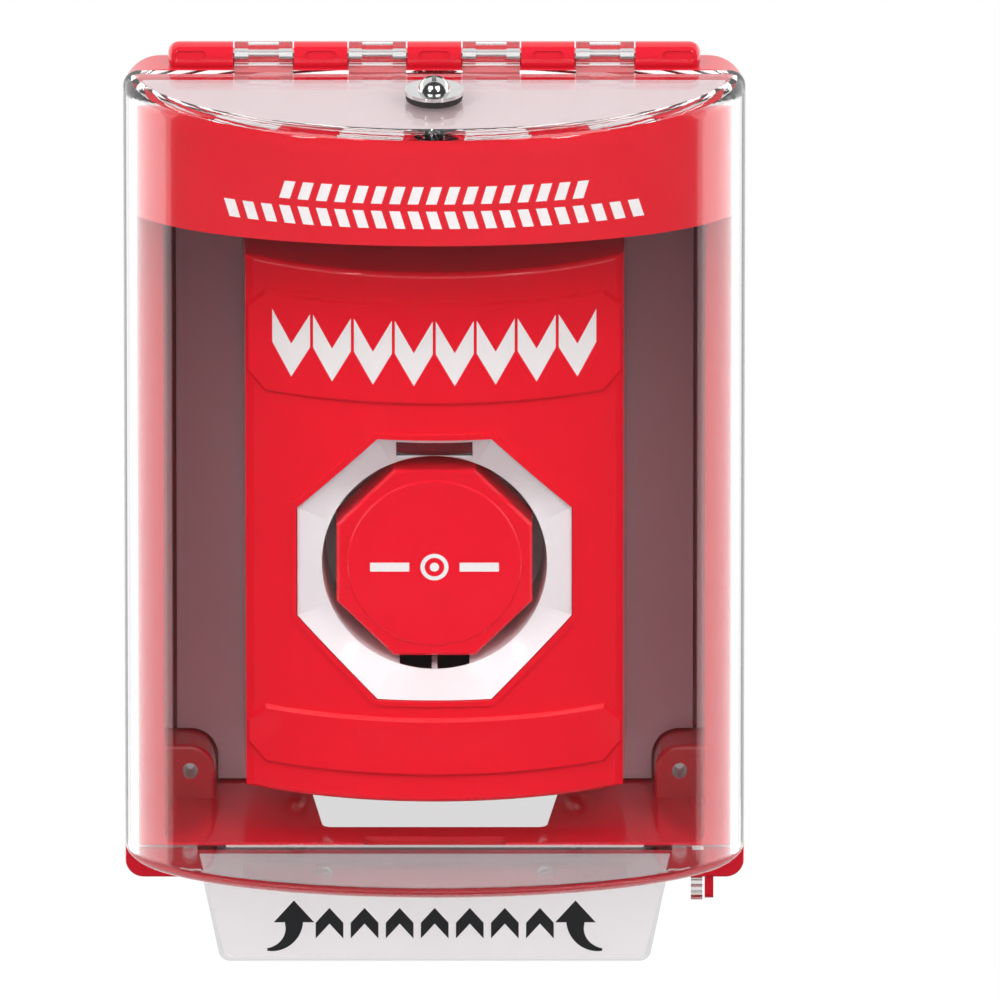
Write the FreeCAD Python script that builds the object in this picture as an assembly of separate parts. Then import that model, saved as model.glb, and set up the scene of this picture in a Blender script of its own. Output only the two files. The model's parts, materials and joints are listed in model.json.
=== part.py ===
import FreeCAD, Part

import math
import os

# Emergency push button station in a wall box with a clear lift-up cover.
# Frame: the wall is the plane Y = 0, the room is towards -Y, +X is right and +Z is up.
# The origin is the middle of the four wall screw holes. Lengths are millimetres.

# Wall box
BOX_DEPTH = 47.6
RIM_WIDTH = 134.0
RIM_HEIGHT = 182.8
RIM_DEPTH = 11.0
RIM_TOP_RADIUS = 8.0
RIM_BOTTOM_RADIUS = 4.0
RIM_EDGE_ROUND = 0.5
RIM_STEP_SIDE = 6.2
RIM_STEP_TOP = 9.4
RIM_STEP_FLOOR = 8.2
BOX_WALL = 2.5
BOX_TOP_CORNER = 9.0
BOX_CORNER = 8.0
CAVITY_CORNER = 2.0
BACK_WALL = 3.5
FLOOR_RISE = 1.0
SIDE_DRAFT = 0.9
FLOOR_NOTCH_WIDTH = 30.3
FLOOR_NOTCH_DEPTH = 0.9
FLOOR_NOTCH_LENGTH = 4.0

# Cable opening in the floor, wider towards the wall
FLOOR_HOLE_FRONT = 10.2
FLOOR_HOLE_FRONT_WIDTH = 48.1
FLOOR_HOLE_BACK_WIDTH = 54.8
FLOOR_HOLE_BACK = 7.0
FLOOR_HOLE_RADIUS = 2.0

# Cable opening in the back
REAR_HOLE_WIDTH = 46.0
REAR_HOLE_HEIGHT = 62.0
REAR_HOLE_RADIUS = 5.0

# Corner pillars that take the wall screws
WALL_SCREW_X = 107.0
WALL_SCREW_Z = 153.0
WALL_SCREW_HOLE = 3.6
PILLAR_HALF_WIDTH = 5.8
PILLAR_DEPTH = 14.5
PILLAR_ROUND = 1.0

# Hinge along the top
HINGE_RISE = 1.8
HINGE_BACK = 5.0
KNUCKLE_DIAMETER = 6.3
PIN_DIAMETER = 2.0
PIN_CLEARANCE = 0.05
PIN_END_WALL = 3.0
HINGE_HALF_LENGTH = 57.3
FIXED_KNUCKLES = ((-5.8, 5.8), (18.7, 30.2), (43.3, 57.3))
MOVING_KNUCKLES = ((6.1, 18.4), (30.5, 43.0))
KNUCKLE_SIDE_GAP = 0.3
KNUCKLE_NOTCH_GAP = 0.6
KNUCKLE_END_ROUND = 2.4
KNUCKLE_ROOT_THICKNESS = 4.4
KNUCKLE_ARM_REACH = 3.5
KNUCKLE_SLOT_LENGTH = 6.6
KNUCKLE_SLOT_WIDTH = 1.8
KNUCKLE_SLOT_DEPTH = 0.5
KNUCKLE_SLOT_TURN = 18.0
KNUCKLE_POCKET_HEIGHT = 4.4
KNUCKLE_POCKET_DEPTH = 1.1
KNUCKLE_POCKET_TURN = 42.0
END_SLOT_SHIFT = 2.2

# Clear cover, half an ellipse in plan
COVER_REACH = 39.3
COVER_WALL = 2.6
COVER_STEP_BOTTOM = 5.2
COVER_DRAFT = 3.5
COVER_EDGE_ROUND = 3.4
COVER_GAP = 0.4
TAB_TOP_WIDTH = 103.3
TAB_BOTTOM_WIDTH = 92.8
TAB_LENGTH = 23.3
TAB_THICKNESS = 2.5
TAB_CORNER = 2.5
TAB_LABEL_BORDER = 1.0
TAB_LABEL_TOP_GAP = 0.6
LABEL_THICKNESS = 0.3
LABEL_HEIGHT = 27.7
LABEL_GAP = 0.05
LABEL_BACK_GAP = 1.0

# Gaskets
GASKET_WIDTH = 1.6
GASKET_INSET = 0.5
GASKET_GROOVE = 1.0
GASKET_PROUD = 0.3
GASKET_TOP_GAP = 9.0
GASKET_CORNER = 2.0
GASKET_CLEARANCE = 0.02
WALL_GASKET_WIDTH = 2.0
WALL_GASKET_DEPTH = 1.2
WALL_GASKET_INSET = 0.8

# Seal ears at the lower right
SEAL_EAR_BOX = (58.5, 60.4)
SEAL_EAR_COVER = (55.5, 58.0)
SEAL_EAR_TOP_GAP = 0.4
SEAL_EAR_LENGTH = 5.2
SEAL_EAR_DEPTH = 6.0
SEAL_EAR_SETBACK = 1.0
SEAL_EAR_ROUND = 1.2
SEAL_EAR_HOLE = 2.2

# Top screw, through the cover into the sounder case
TOP_SCREW_REACH = 18.0
TOP_SCREW_HEAD = 7.1
TOP_SCREW_HEAD_HEIGHT = 3.0
TOP_SCREW_SHANK = 3.9
TOP_SCREW_LENGTH = 12.0
WASHER_DIAMETER = 12.7
WASHER_THICKNESS = 0.8
SEAL_WASHER_DIAMETER = 12.2
SEAL_WASHER_THICKNESS = 1.6
SEAL_WASHER_ROUND = 0.5

# Sounder inside the top of the cover
SOUNDER_GAP = 0.6
SOUNDER_WALL = 1.6
SOUNDER_HEIGHT = 22.8
SOUNDER_BACK_GAP = 2.0
SOUNDER_TOP_GAP = 0.6
SCREW_BOSS_WALL = 2.0
LID_THICKNESS = 2.0
LID_SCREW_X = 55.0
LID_SCREW_INSET = 3.2
LID_SCREW_FRONT = 10.0
LID_SCREW_LENGTH = 9.0
LID_BOSS = 6.0
LID_SLOT_WIDTH = 1.6
LID_SLOT_PITCH = 3.6
LID_SLOT_BORDER = 1.5
LID_SLOT_SHORTEST = 4.5
LID_SLOTS = 7
HORN_DIAMETER = 27.0
HORN_HEIGHT = 6.0
HORN_WALL = 1.5
HORN_MOUTH = 2.5
HORN_X = 20.0
HORN_REACH = 17.5
BATTERY_SIZE = (42.0, 15.0, 14.0)
BATTERY_X = -29.5
BATTERY_GAP = 0.5
BATTERY_ROUND = 1.5
STUD_DIAMETER = 5.5
STUD_LENGTH = 2.4
STUD_SPACING = 7.2
SNAP_THICKNESS = 3.2
BOARD_THICKNESS = 1.6
SOUNDER_BOARD = (26.0, 22.0)
TILT_SWITCH_DIAMETER = 4.5
TILT_SWITCH_LENGTH = 14.0
TILT_SWITCH_SHIFT = 5.0

# Push button station
STATION_WIDTH = 81.0
STATION_TOP = 49.5
STATION_BOTTOM = -70.1
STATION_DRAFT = 1.7
STATION_WALL = 2.2
BOW_RADIUS = 67.9
BOW_APEX = 12.0
EDGE_BEVEL = 1.9
STATION_ROUND = 1.2
BAND_RAISE = 1.0
BAND_BEVEL = 0.7
BAND_CORNER = 4.0
BAND_INSET = 0.1
UPPER_BAND = (20.0, 42.9)
LOWER_BAND = (-64.0, -50.9)
LOCK_SCREW_X = 24.0
LOCK_SCREW_LENGTH = 6.0
LOCK_BOSS_WIDTH = 8.0
LOCK_BOSS_DEPTH = 12.0
LOCK_BOSS_HEIGHT = 7.3

# Bezel and button
BUTTON_Z = -17.5
BEZEL_FLATS = 59.1
BEZEL_FIT = 0.15
BEZEL_LIP = 1.2
BEZEL_LIP_RAISE = 0.5
BOWL_DIAMETER = 48.3
BOWL_SETBACK = 5.9
BOWL_FLOOR_DIAMETER = 46.8
BOWL_DEPTH = 17.0
BEZEL_WALL = 2.0
BEZEL_SKIRT = 14.0
DRAIN_WIDTH = 6.9
DRAIN_RIB = 1.2
DRAIN_DEPTH = 4.0
WINDOW_WIDTH = 16.3
WINDOW_LENGTH = 6.4
WINDOW_THICKNESS = 1.2
WINDOW_SHARE = 0.42
WINDOW_FIT = 0.05
LAMP_BOARD_DEPTH = 8.0
LAMP_BOARD_THICKNESS = 1.2
LAMP_BOARD_BORDER = 1.0
LAMP_DIAMETER = 3.0
LAMP_LENGTH = 4.0
LAMP_SPACING = 7.0
BUTTON_FLATS = 42.0
BUTTON_SETBACK = 5.5
BUTTON_THICKNESS = 11.0
BUTTON_WALL = 2.0
BUTTON_CHAMFER = 0.6
BUTTON_DISC = 37.5
BUTTON_DISC_RAISE = 0.35
BUTTON_TRAVEL = 4.0
HUB_SETBACK = 5.0
SPRING_WIRE = 0.9
SPRING_CLEARANCE = 0.3
SPRING_TURNS = 5
STEM_DIAMETER = 8.0
STEM_CLEARANCE = 0.06
GUIDE_DIAMETER = 13.0
GUIDE_LENGTH = 6.0

# Station base and contacts
PLATE_THICKNESS = 3.5
PLATE_GAP = 0.5
PLATE_SCREWS_TOP = (49.0, 55.0)
PLATE_SCREWS_BOTTOM = (30.0, -76.5)
BASE_GASKET = 1.0
BASE_THICKNESS = 2.5
BASE_FIT = 0.3
BASE_SCREW_X = 28.0
BASE_SCREW_RISE = 38.0
WIRE_HOLE_WIDTH = 18.0
WIRE_HOLE_BOTTOM = 8.0
CONTACT_BLOCK = (30.0, 40.0)
CONTACT_BLOCK_DEPTH = 17.0
CONTACT_BLOCK_WALL = 2.0
CONTACT_BLOCK_ROUND = 1.0
BRIDGE_SIZE = (22.0, 6.0, 0.8)
BRIDGE_GAP = 0.1
STRIP_THICKNESS = 0.8
STRIP_SPAN = (6.0, 12.5)
STRIP_RISE = (-4.0, 16.5)
TIP_DIAMETER = 3.0
TIP_HEIGHT = 0.6
TERMINAL_X = 9.25
TERMINAL_RISE = 13.0
STEM_NOSE = 4.0
SMALL_SCREW = 3.0
SMALL_SCREW_HEAD = 5.6
SMALL_SCREW_HEAD_HEIGHT = 2.0
FINE_SCREW = 2.5
FINE_SCREW_HEAD = 4.6
FINE_SCREW_HEAD_HEIGHT = 1.5
SCREW_SKIN = 0.4
THREAD_CLEARANCE = 0.02

COVER_TOP = RIM_HEIGHT / 2
COVER_BOTTOM = COVER_STEP_BOTTOM - RIM_HEIGHT / 2
TAB_BOTTOM = COVER_BOTTOM - TAB_LENGTH
HINGE_Z = RIM_HEIGHT / 2 + HINGE_RISE
BOX_TOP = RIM_HEIGHT / 2 - RIM_STEP_TOP
BOX_HALF_WIDTH = RIM_WIDTH / 2 - RIM_STEP_SIDE
FLOOR_FRONT = RIM_STEP_FLOOR - RIM_HEIGHT / 2
SEAL_EAR_BOTTOM = -RIM_HEIGHT / 2 - SEAL_EAR_LENGTH
SOUNDER_BOTTOM = COVER_TOP - COVER_WALL - SOUNDER_HEIGHT
BAND_HALF_WIDTH = STATION_WIDTH / 2 - BAND_INSET
FACE = -BOX_DEPTH
COVER_BACK = FACE - COVER_GAP
HINGE_Y = COVER_BACK + HINGE_BACK
APEX = COVER_BACK - BOW_APEX
BOW_CENTRE = APEX + BOW_RADIUS
PLATE_BACK = -BACK_WALL
PLATE_FRONT = PLATE_BACK - PLATE_THICKNESS
STATION_BACK = PLATE_FRONT - BASE_GASKET
BASE_FRONT = STATION_BACK - BASE_THICKNESS
BOWL_EDGE = APEX + BOWL_SETBACK
BOWL_FLOOR = BOWL_EDGE + BOWL_DEPTH
BUTTON_FACE = APEX + BUTTON_SETBACK
BUTTON_BACK = BUTTON_FACE + BUTTON_THICKNESS
BLOCK_FRONT = BASE_FRONT - CONTACT_BLOCK_DEPTH
CONTACT_TIP = BASE_FRONT - CONTACT_BLOCK_WALL - STRIP_THICKNESS - TIP_HEIGHT
BRIDGE_FRONT = CONTACT_TIP - BUTTON_TRAVEL - BRIDGE_GAP - TIP_HEIGHT - BRIDGE_SIZE[2]
LOCK_SCREW_Y = BASE_FRONT - LOCK_BOSS_DEPTH / 2
HUB_BACK = BUTTON_BACK - HUB_SETBACK
AXIS_X = FreeCAD.Vector(1, 0, 0)
AXIS_Y = FreeCAD.Vector(0, 1, 0)
AXIS_Z = FreeCAD.Vector(0, 0, 1)


def vec(x, y, z):
    return FreeCAD.Vector(x, y, z)


def block(x0, x1, y0, y1, z0, z1):
    return Part.makeBox(x1 - x0, y1 - y0, z1 - z0, vec(x0, y0, z0))


def rod_y(diameter, y0, y1, x=0.0, z=0.0):
    return Part.makeCylinder(diameter / 2, y1 - y0, vec(x, y0, z), AXIS_Y)


def rod_x(diameter, x0, x1, y, z):
    return Part.makeCylinder(diameter / 2, x1 - x0, vec(x0, y, z), AXIS_X)


def rod_z(diameter, z0, z1, x, y):
    return Part.makeCylinder(diameter / 2, z1 - z0, vec(x, y, z0), AXIS_Z)


def prism(points, direction):
    return Part.Face(Part.makePolygon(points + points[:1])).extrude(direction)


def prism_y(outline, y0, y1):
    """Extrude an outline of (x, z) points from y0 to y1."""
    return prism([vec(x, y0, z) for x, z in outline], vec(0, y1 - y0, 0))


def prism_x(outline, x0, x1):
    """Extrude an outline of (y, z) points from x0 to x1."""
    return prism([vec(x0, y, z) for y, z in outline], vec(x1 - x0, 0, 0))


def edges_along(shape, direction, keep=lambda middle: True):
    """Straight edges of a shape that run along a direction."""
    found = []
    for edge in shape.Edges:
        if not isinstance(edge.Curve, Part.Line):
            continue
        ends = [vertex.Point for vertex in edge.Vertexes]
        if len(ends) < 2:
            continue
        along = ends[1].sub(ends[0]).normalize()
        if abs(along.dot(direction)) > 0.999 and keep(edge.CenterOfMass):
            found.append(edge)
    return found


def rounded_plate(half_width, z0, z1, y0, y1, top_radius, bottom_radius):
    """A plate in the XZ plane with rounded corners."""
    plate = block(-half_width, half_width, y0, y1, z0, z1)
    middle = (z0 + z1) / 2
    plate = plate.makeFillet(top_radius, edges_along(plate, AXIS_Y, lambda p: p.z > middle))
    return plate.makeFillet(bottom_radius, edges_along(plate, AXIS_Y, lambda p: p.z < middle))


def octagon(flats, z=0.0):
    """Corners of an octagon with a flat on top, as (x, z) points."""
    radius = flats / 2 / math.cos(math.pi / 8)
    angles = [math.pi / 8 + k * math.pi / 4 for k in range(8)]
    return [(radius * math.cos(a), z + radius * math.sin(a)) for a in angles]


def half_ellipse(inset, z0, z1):
    """A half elliptical column of the cover's plan, set in by a distance."""
    half = RIM_WIDTH / 2 - inset
    reach = COVER_REACH - inset
    ellipse = Part.Ellipse(vec(half, COVER_BACK, z0), vec(0, COVER_BACK + reach, z0), vec(0, COVER_BACK, z0))
    arc = Part.Arc(ellipse, math.pi, 2 * math.pi).toShape()
    line = Part.makeLine(vec(half, COVER_BACK, z0), vec(-half, COVER_BACK, z0))
    return Part.Face(Part.Wire([arc, line])).extrude(vec(0, 0, z1 - z0))


def drafted_slab(top, bottom, reach):
    """A slab across X whose top and bottom slope in towards the room."""
    slope = math.tan(math.radians(COVER_DRAFT))
    tip = COVER_BACK - reach - 5
    rise = (COVER_BACK - tip) * slope
    outline = [(COVER_BACK, bottom), (COVER_BACK, top), (tip, top - rise), (tip, bottom + rise)]
    return prism_x(outline, -RIM_WIDTH, RIM_WIDTH)


def cover_form(inset):
    """The outer form of the cover, or an inner form set in from it."""
    column = half_ellipse(inset, COVER_BOTTOM - 5, COVER_TOP + 5)
    slab = drafted_slab(COVER_TOP - inset, COVER_BOTTOM + inset, COVER_REACH)
    return column.common(slab)


def cover_top_at(reach):
    """Height of the cover's outer top face at a distance in front of its back edge."""
    return COVER_TOP - reach * math.tan(math.radians(COVER_DRAFT))


def bow_column(offset, half_width, z0, z1):
    """A column with the station's bowed front and drafted sides."""
    rear = STATION_BACK
    radius = BOW_RADIUS + offset
    edge_half = half_width - EDGE_BEVEL
    edge_y = BOW_CENTRE - math.sqrt(radius ** 2 - edge_half ** 2)
    flank_y = edge_y + EDGE_BEVEL
    spread = (rear - flank_y) * math.tan(math.radians(STATION_DRAFT))
    corners = [vec(edge_half, edge_y, z0), vec(half_width, flank_y, z0), vec(half_width + spread, rear, z0)]
    corners += [vec(-p.x, p.y, z0) for p in reversed(corners)]
    lines = [Part.makeLine(a, b) for a, b in zip(corners, corners[1:])]
    arc = Part.Arc(corners[-1], vec(0, BOW_CENTRE - radius, z0), corners[0]).toShape()
    return Part.Face(Part.Wire(lines + [arc])).extrude(vec(0, 0, z1 - z0))


def station_form(offset, inset):
    """The station's outer form, or an inner form set in from it."""
    column = bow_column(offset, STATION_WIDTH / 2 - inset, STATION_BOTTOM - 9, STATION_TOP + 9)
    spread = (STATION_BACK - APEX) * math.tan(math.radians(STATION_DRAFT))
    top = STATION_TOP - inset
    bottom = STATION_BOTTOM + inset
    front = APEX - offset - 2
    outline = [(STATION_BACK, bottom - spread), (STATION_BACK, top + spread), (front, top), (front, bottom)]
    return column.common(prism_x(outline, -STATION_WIDTH, STATION_WIDTH))


def pan_screw(shank, length, head, head_height, clear=0.0):
    """A pan head screw with a cross recess, its shank along -Z and its head on Z = 0."""
    radius = head / 2
    dome_radius = (radius ** 2 + head_height ** 2) / (2 * head_height)
    dome = Part.makeSphere(dome_radius, vec(0, 0, head_height - dome_radius))
    dome = dome.common(block(-head, head, -head, head, 0, head_height + 1))
    recess_width = head * 0.14
    for half_x, half_y in ((radius * 0.5, recess_width / 2), (recess_width / 2, radius * 0.5)):
        dome = dome.cut(block(-half_x, half_x, -half_y, half_y, head_height * 0.45, head_height + 1))
    return dome.fuse(Part.makeCylinder(shank / 2 - clear, length, vec(0, 0, -length)))


def facing_room(shape, x, y, z):
    """Turn a shape made along Z to face the room and put it in place."""
    shape.rotate(vec(0, 0, 0), AXIS_X, 90)
    shape.translate(vec(x, y, z))
    return shape


def floor_at(y):
    """Height of the box floor, which rises towards the wall."""
    share = (y - FACE) / (BOX_DEPTH - BACK_WALL)
    return FLOOR_FRONT + FLOOR_RISE * share


def box_cavity():
    """The drafted space inside the wall box, from the rim to the back wall."""
    half = BOX_HALF_WIDTH - BOX_WALL
    top = BOX_TOP - BOX_WALL

    def outline(y, shrink, floor):
        face = rounded_plate(half - shrink, floor, top - shrink, y, y + 1, BOX_CORNER, CAVITY_CORNER)
        return min(face.Faces, key=lambda f: f.CenterOfMass.y).OuterWire

    start = outline(FACE - 1, 0.0, floor_at(FACE - 1))
    end = outline(PLATE_BACK, SIDE_DRAFT, floor_at(PLATE_BACK))
    return Part.makeLoft([start, end], True, True)


def wall_screw_places():
    return [(sx * WALL_SCREW_X / 2, sz * WALL_SCREW_Z / 2) for sx in (-1, 1) for sz in (-1, 1)]


def pillar_form(x, z, grow, y0, y1):
    """A corner block with an arched inner end that runs out to the side wall and to the floor or roof."""
    half = PILLAR_HALF_WIDTH + grow
    out_x = math.copysign(RIM_WIDTH / 2, x)
    out_z = math.copysign(RIM_HEIGHT / 2, z)
    body = rod_y(2 * half, y0, y1, x, z)
    side = block(min(x, out_x), max(x, out_x), y0, y1, z - half, z + half)
    foot = block(x - half, x + half, y0, y1, min(z, out_z), max(z, out_z))
    return body.fuse([side, foot]).removeSplitter()


def pillar(x, z):
    """A corner pillar with a rounded front edge."""
    front = PLATE_BACK - PILLAR_DEPTH
    form = pillar_form(x, z, 0.0, front, PLATE_BACK + 1)
    rim = [e for e in form.Edges if abs(e.CenterOfMass.y - front) < 0.01]
    return form.makeFillet(PILLAR_ROUND, rim)


def mirrored_spans(spans):
    """Spans along X on both sides of the middle, a central span once."""
    both = []
    for low, high in spans:
        both.append((low, high))
        if low > 0:
            both.append((-high, -low))
    return both


def knuckle_slot(x):
    """The shallow round-ended recess on the front of a knuckle."""
    y0 = -KNUCKLE_DIAMETER / 2 - 1
    y1 = KNUCKLE_SLOT_DEPTH - KNUCKLE_DIAMETER / 2
    half = (KNUCKLE_SLOT_LENGTH - KNUCKLE_SLOT_WIDTH) / 2
    slot = block(x - half, x + half, y0, y1, -KNUCKLE_SLOT_WIDTH / 2, KNUCKLE_SLOT_WIDTH / 2)
    slot = slot.fuse([rod_y(KNUCKLE_SLOT_WIDTH, y0, y1, x + side * half, 0) for side in (-1, 1)])
    slot.rotate(vec(0, 0, 0), AXIS_X, -KNUCKLE_SLOT_TURN)
    slot.translate(vec(0, HINGE_Y, HINGE_Z))
    return slot


def fixed_knuckle(low, high):
    """One box knuckle on its root above the rim."""
    knuckle = rod_x(KNUCKLE_DIAMETER, low, high, HINGE_Y, HINGE_Z)
    slot_x = (low + high) / 2
    if max(abs(low), abs(high)) >= HINGE_HALF_LENGTH:
        end = high if high > 0 else low
        ring = [e for e in knuckle.Edges if abs(e.CenterOfMass.x - end) < 0.01]
        knuckle = knuckle.makeFillet(KNUCKLE_END_ROUND, ring)
        slot_x += math.copysign(END_SLOT_SHIFT, end)
    half = KNUCKLE_ROOT_THICKNESS / 2
    inset = KNUCKLE_END_ROUND / 3
    root = block(low + inset, high - inset, HINGE_Y - half, HINGE_Y + half, RIM_HEIGHT / 2 - 1, HINGE_Z - 0.5)
    return knuckle.fuse(root).cut(knuckle_slot(slot_x))


def knuckle_notch(low, high):
    """Room in the rim for a cover knuckle to turn in."""
    reach = KNUCKLE_DIAMETER / 2 + KNUCKLE_NOTCH_GAP
    x0, x1 = low - KNUCKLE_SIDE_GAP, high + KNUCKLE_SIDE_GAP
    hollow = rod_x(2 * reach, x0, x1, HINGE_Y, HINGE_Z)
    mouth = block(x0, x1, FACE - 1, HINGE_Y, HINGE_Z - reach, HINGE_Z + reach)
    return hollow.fuse(mouth)


def seal_ear(span, y0, y1, top):
    low, high = span
    ear = block(low, high, y0, y1, SEAL_EAR_BOTTOM, top)
    bottom = edges_along(ear, AXIS_X, lambda p: p.z < SEAL_EAR_BOTTOM + 0.1)
    ear = ear.makeFillet(SEAL_EAR_ROUND, bottom)
    hole_z = SEAL_EAR_BOTTOM + SEAL_EAR_HOLE
    hole_y = COVER_BACK + SEAL_EAR_DEPTH / 2 + SEAL_EAR_SETBACK
    return ear.cut(rod_x(SEAL_EAR_HOLE, low - 1, high + 1, hole_y, hole_z))


def rim_gasket_run(y0, y1, grow):
    """The seal along the sides and bottom of the cover's back edge, or its groove when grown."""
    inset = GASKET_INSET - grow
    top = COVER_TOP - GASKET_TOP_GAP + grow
    half = RIM_WIDTH / 2
    outer = rounded_plate(half - inset, COVER_BOTTOM + inset, top, y0, y1, GASKET_CORNER / 4, GASKET_CORNER)
    inset = GASKET_INSET + GASKET_WIDTH + grow
    corner = GASKET_CORNER / 2
    inner = rounded_plate(half - inset, COVER_BOTTOM + inset, top + 5, y0 - 1, y1 + 1, corner, corner)
    return outer.cut(inner)


def wall_gasket_ring(grow):
    """The seal against the wall, or its groove when grown by a clearance."""
    inset = WALL_GASKET_INSET - grow
    wide = WALL_GASKET_WIDTH + 2 * grow
    y0 = -WALL_GASKET_DEPTH - grow
    return body_plate(inset, y0, 0).cut(body_plate(inset + wide, y0 - 1, 1))


def floor_hole():
    """The opening in the floor for the cable, wider towards the wall."""
    front = FACE + FLOOR_HOLE_FRONT
    back = -FLOOR_HOLE_BACK
    near = FLOOR_HOLE_FRONT_WIDTH / 2
    far = FLOOR_HOLE_BACK_WIDTH / 2
    z0 = FLOOR_FRONT - BOX_WALL - 2
    points = [vec(-near, front, z0), vec(near, front, z0), vec(far, back, z0), vec(-far, back, z0)]
    hole = prism(points, vec(0, 0, BOX_WALL + 5))
    return hole.makeFillet(FLOOR_HOLE_RADIUS, edges_along(hole, AXIS_Z))


def rear_hole(y0, y1):
    """The opening in the back for the cable and the wall's own wiring box."""
    half = REAR_HOLE_HEIGHT / 2
    return rounded_plate(REAR_HOLE_WIDTH / 2, -half, half, y0, y1, REAR_HOLE_RADIUS, REAR_HOLE_RADIUS)


def body_plate(inset, y0, y1):
    """The outline of the box behind its rim, or one set in from it, between two depths."""
    half = BOX_HALF_WIDTH - inset
    bottom = floor_at(0.0) - BOX_WALL + inset
    return rounded_plate(half, bottom, BOX_TOP - inset, y0, y1, BOX_TOP_CORNER - inset, BOX_CORNER - inset)


def box_body():
    """The outside of the box behind its rim."""
    return body_plate(0.0, FACE + RIM_DEPTH - 1, 0)


def box_shell():
    """Rim, side walls and back wall of the wall box."""
    half_height = RIM_HEIGHT / 2
    rim = rounded_plate(
        RIM_WIDTH / 2, -half_height, half_height, FACE, FACE + RIM_DEPTH, RIM_TOP_RADIUS, RIM_BOTTOM_RADIUS
    )
    rim_edge = [e for e in rim.Edges if abs(e.CenterOfMass.y - FACE) < 0.01]
    rim = rim.makeFillet(RIM_EDGE_ROUND, rim_edge)
    return rim.fuse(box_body()).cut(box_cavity())


def back_box():
    box = box_shell()
    outside = box_body()
    for x, z in wall_screw_places():
        box = box.fuse(pillar(x, z).common(outside))
    for low, high in mirrored_spans(FIXED_KNUCKLES):
        box = box.fuse(fixed_knuckle(low, high))
    ear_front = COVER_BACK + SEAL_EAR_SETBACK
    box = box.fuse(seal_ear(SEAL_EAR_BOX, ear_front, ear_front + SEAL_EAR_DEPTH, -RIM_HEIGHT / 2 + 1))
    cuts = [knuckle_notch(low, high) for low, high in mirrored_spans(MOVING_KNUCKLES)]
    cuts += [rod_y(WALL_SCREW_HOLE, -BOX_DEPTH, 1, x, z) for x, z in wall_screw_places()]
    cuts += [rod_y(SMALL_SCREW, PLATE_BACK - 1, -SCREW_SKIN, x, z) for x, z in plate_screw_places()]
    cuts.append(floor_hole())
    cuts.append(rear_hole(PLATE_BACK - 1, 1))
    cuts.append(wall_gasket_ring(GASKET_CLEARANCE))
    cuts.append(rim_gasket_run(FACE - 1, FACE + GASKET_GROOVE, GASKET_CLEARANCE))
    notch = FLOOR_NOTCH_WIDTH / 2
    notch_low = FLOOR_FRONT - FLOOR_NOTCH_DEPTH
    cuts.append(block(-notch, notch, FACE - 1, FACE + FLOOR_NOTCH_LENGTH, notch_low, FLOOR_FRONT + BOX_CORNER))
    pin_hole = PIN_DIAMETER + 2 * PIN_CLEARANCE
    pin_end = HINGE_HALF_LENGTH - PIN_END_WALL
    cuts.append(rod_x(pin_hole, -pin_end, pin_end, HINGE_Y, HINGE_Z))
    return box.cut(cuts)


def hinge_pin():
    end = HINGE_HALF_LENGTH - PIN_END_WALL - PIN_CLEARANCE
    return rod_x(PIN_DIAMETER, -end, end, HINGE_Y, HINGE_Z)


def moving_knuckle(low, high):
    """One cover knuckle with its arm to the top of the cover."""
    radius = KNUCKLE_DIAMETER / 2
    knuckle = rod_x(KNUCKLE_DIAMETER, low, high, HINGE_Y, HINGE_Z)
    outline = [
        (HINGE_Y, HINGE_Z),
        (HINGE_Y - radius * 0.96, HINGE_Z - radius * 0.2),
        (COVER_BACK - KNUCKLE_ARM_REACH, cover_top_at(KNUCKLE_ARM_REACH) - 0.2),
        (COVER_BACK - KNUCKLE_ARM_REACH, COVER_TOP - COVER_WALL),
        (COVER_BACK, COVER_TOP - COVER_WALL / 2),
        (HINGE_Y - radius * 0.8, HINGE_Z - radius * 0.6),
    ]
    arm = prism_x(outline, low, high)
    return knuckle.fuse(arm).cut(knuckle_pocket((low + high) / 2))


def knuckle_pocket(x):
    """The flat recess in the upper front of a cover knuckle."""
    half_x, half_z = KNUCKLE_SLOT_LENGTH / 2, KNUCKLE_POCKET_HEIGHT / 2
    floor = KNUCKLE_POCKET_DEPTH - KNUCKLE_DIAMETER / 2
    pocket = block(x - half_x, x + half_x, -KNUCKLE_DIAMETER, floor, -half_z, half_z)
    pocket.rotate(vec(0, 0, 0), AXIS_X, -KNUCKLE_POCKET_TURN)
    pocket.translate(vec(0, HINGE_Y, HINGE_Z))
    return pocket


def tab_plate(inset, y0, y1, top, bottom):
    """The pull tab's tapered plate, or its label when set in."""
    half_top = TAB_TOP_WIDTH / 2 - inset
    half_bottom = TAB_BOTTOM_WIDTH / 2 - inset
    corners = [(-half_top, top), (half_top, top), (half_bottom, bottom), (-half_bottom, bottom)]
    plate = prism_y(corners, y0, y1)
    lower = edges_along(plate, AXIS_Y, lambda p: p.z < bottom + 0.1)
    return plate.makeFillet(max(TAB_CORNER - inset, 0.5), lower)


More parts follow.
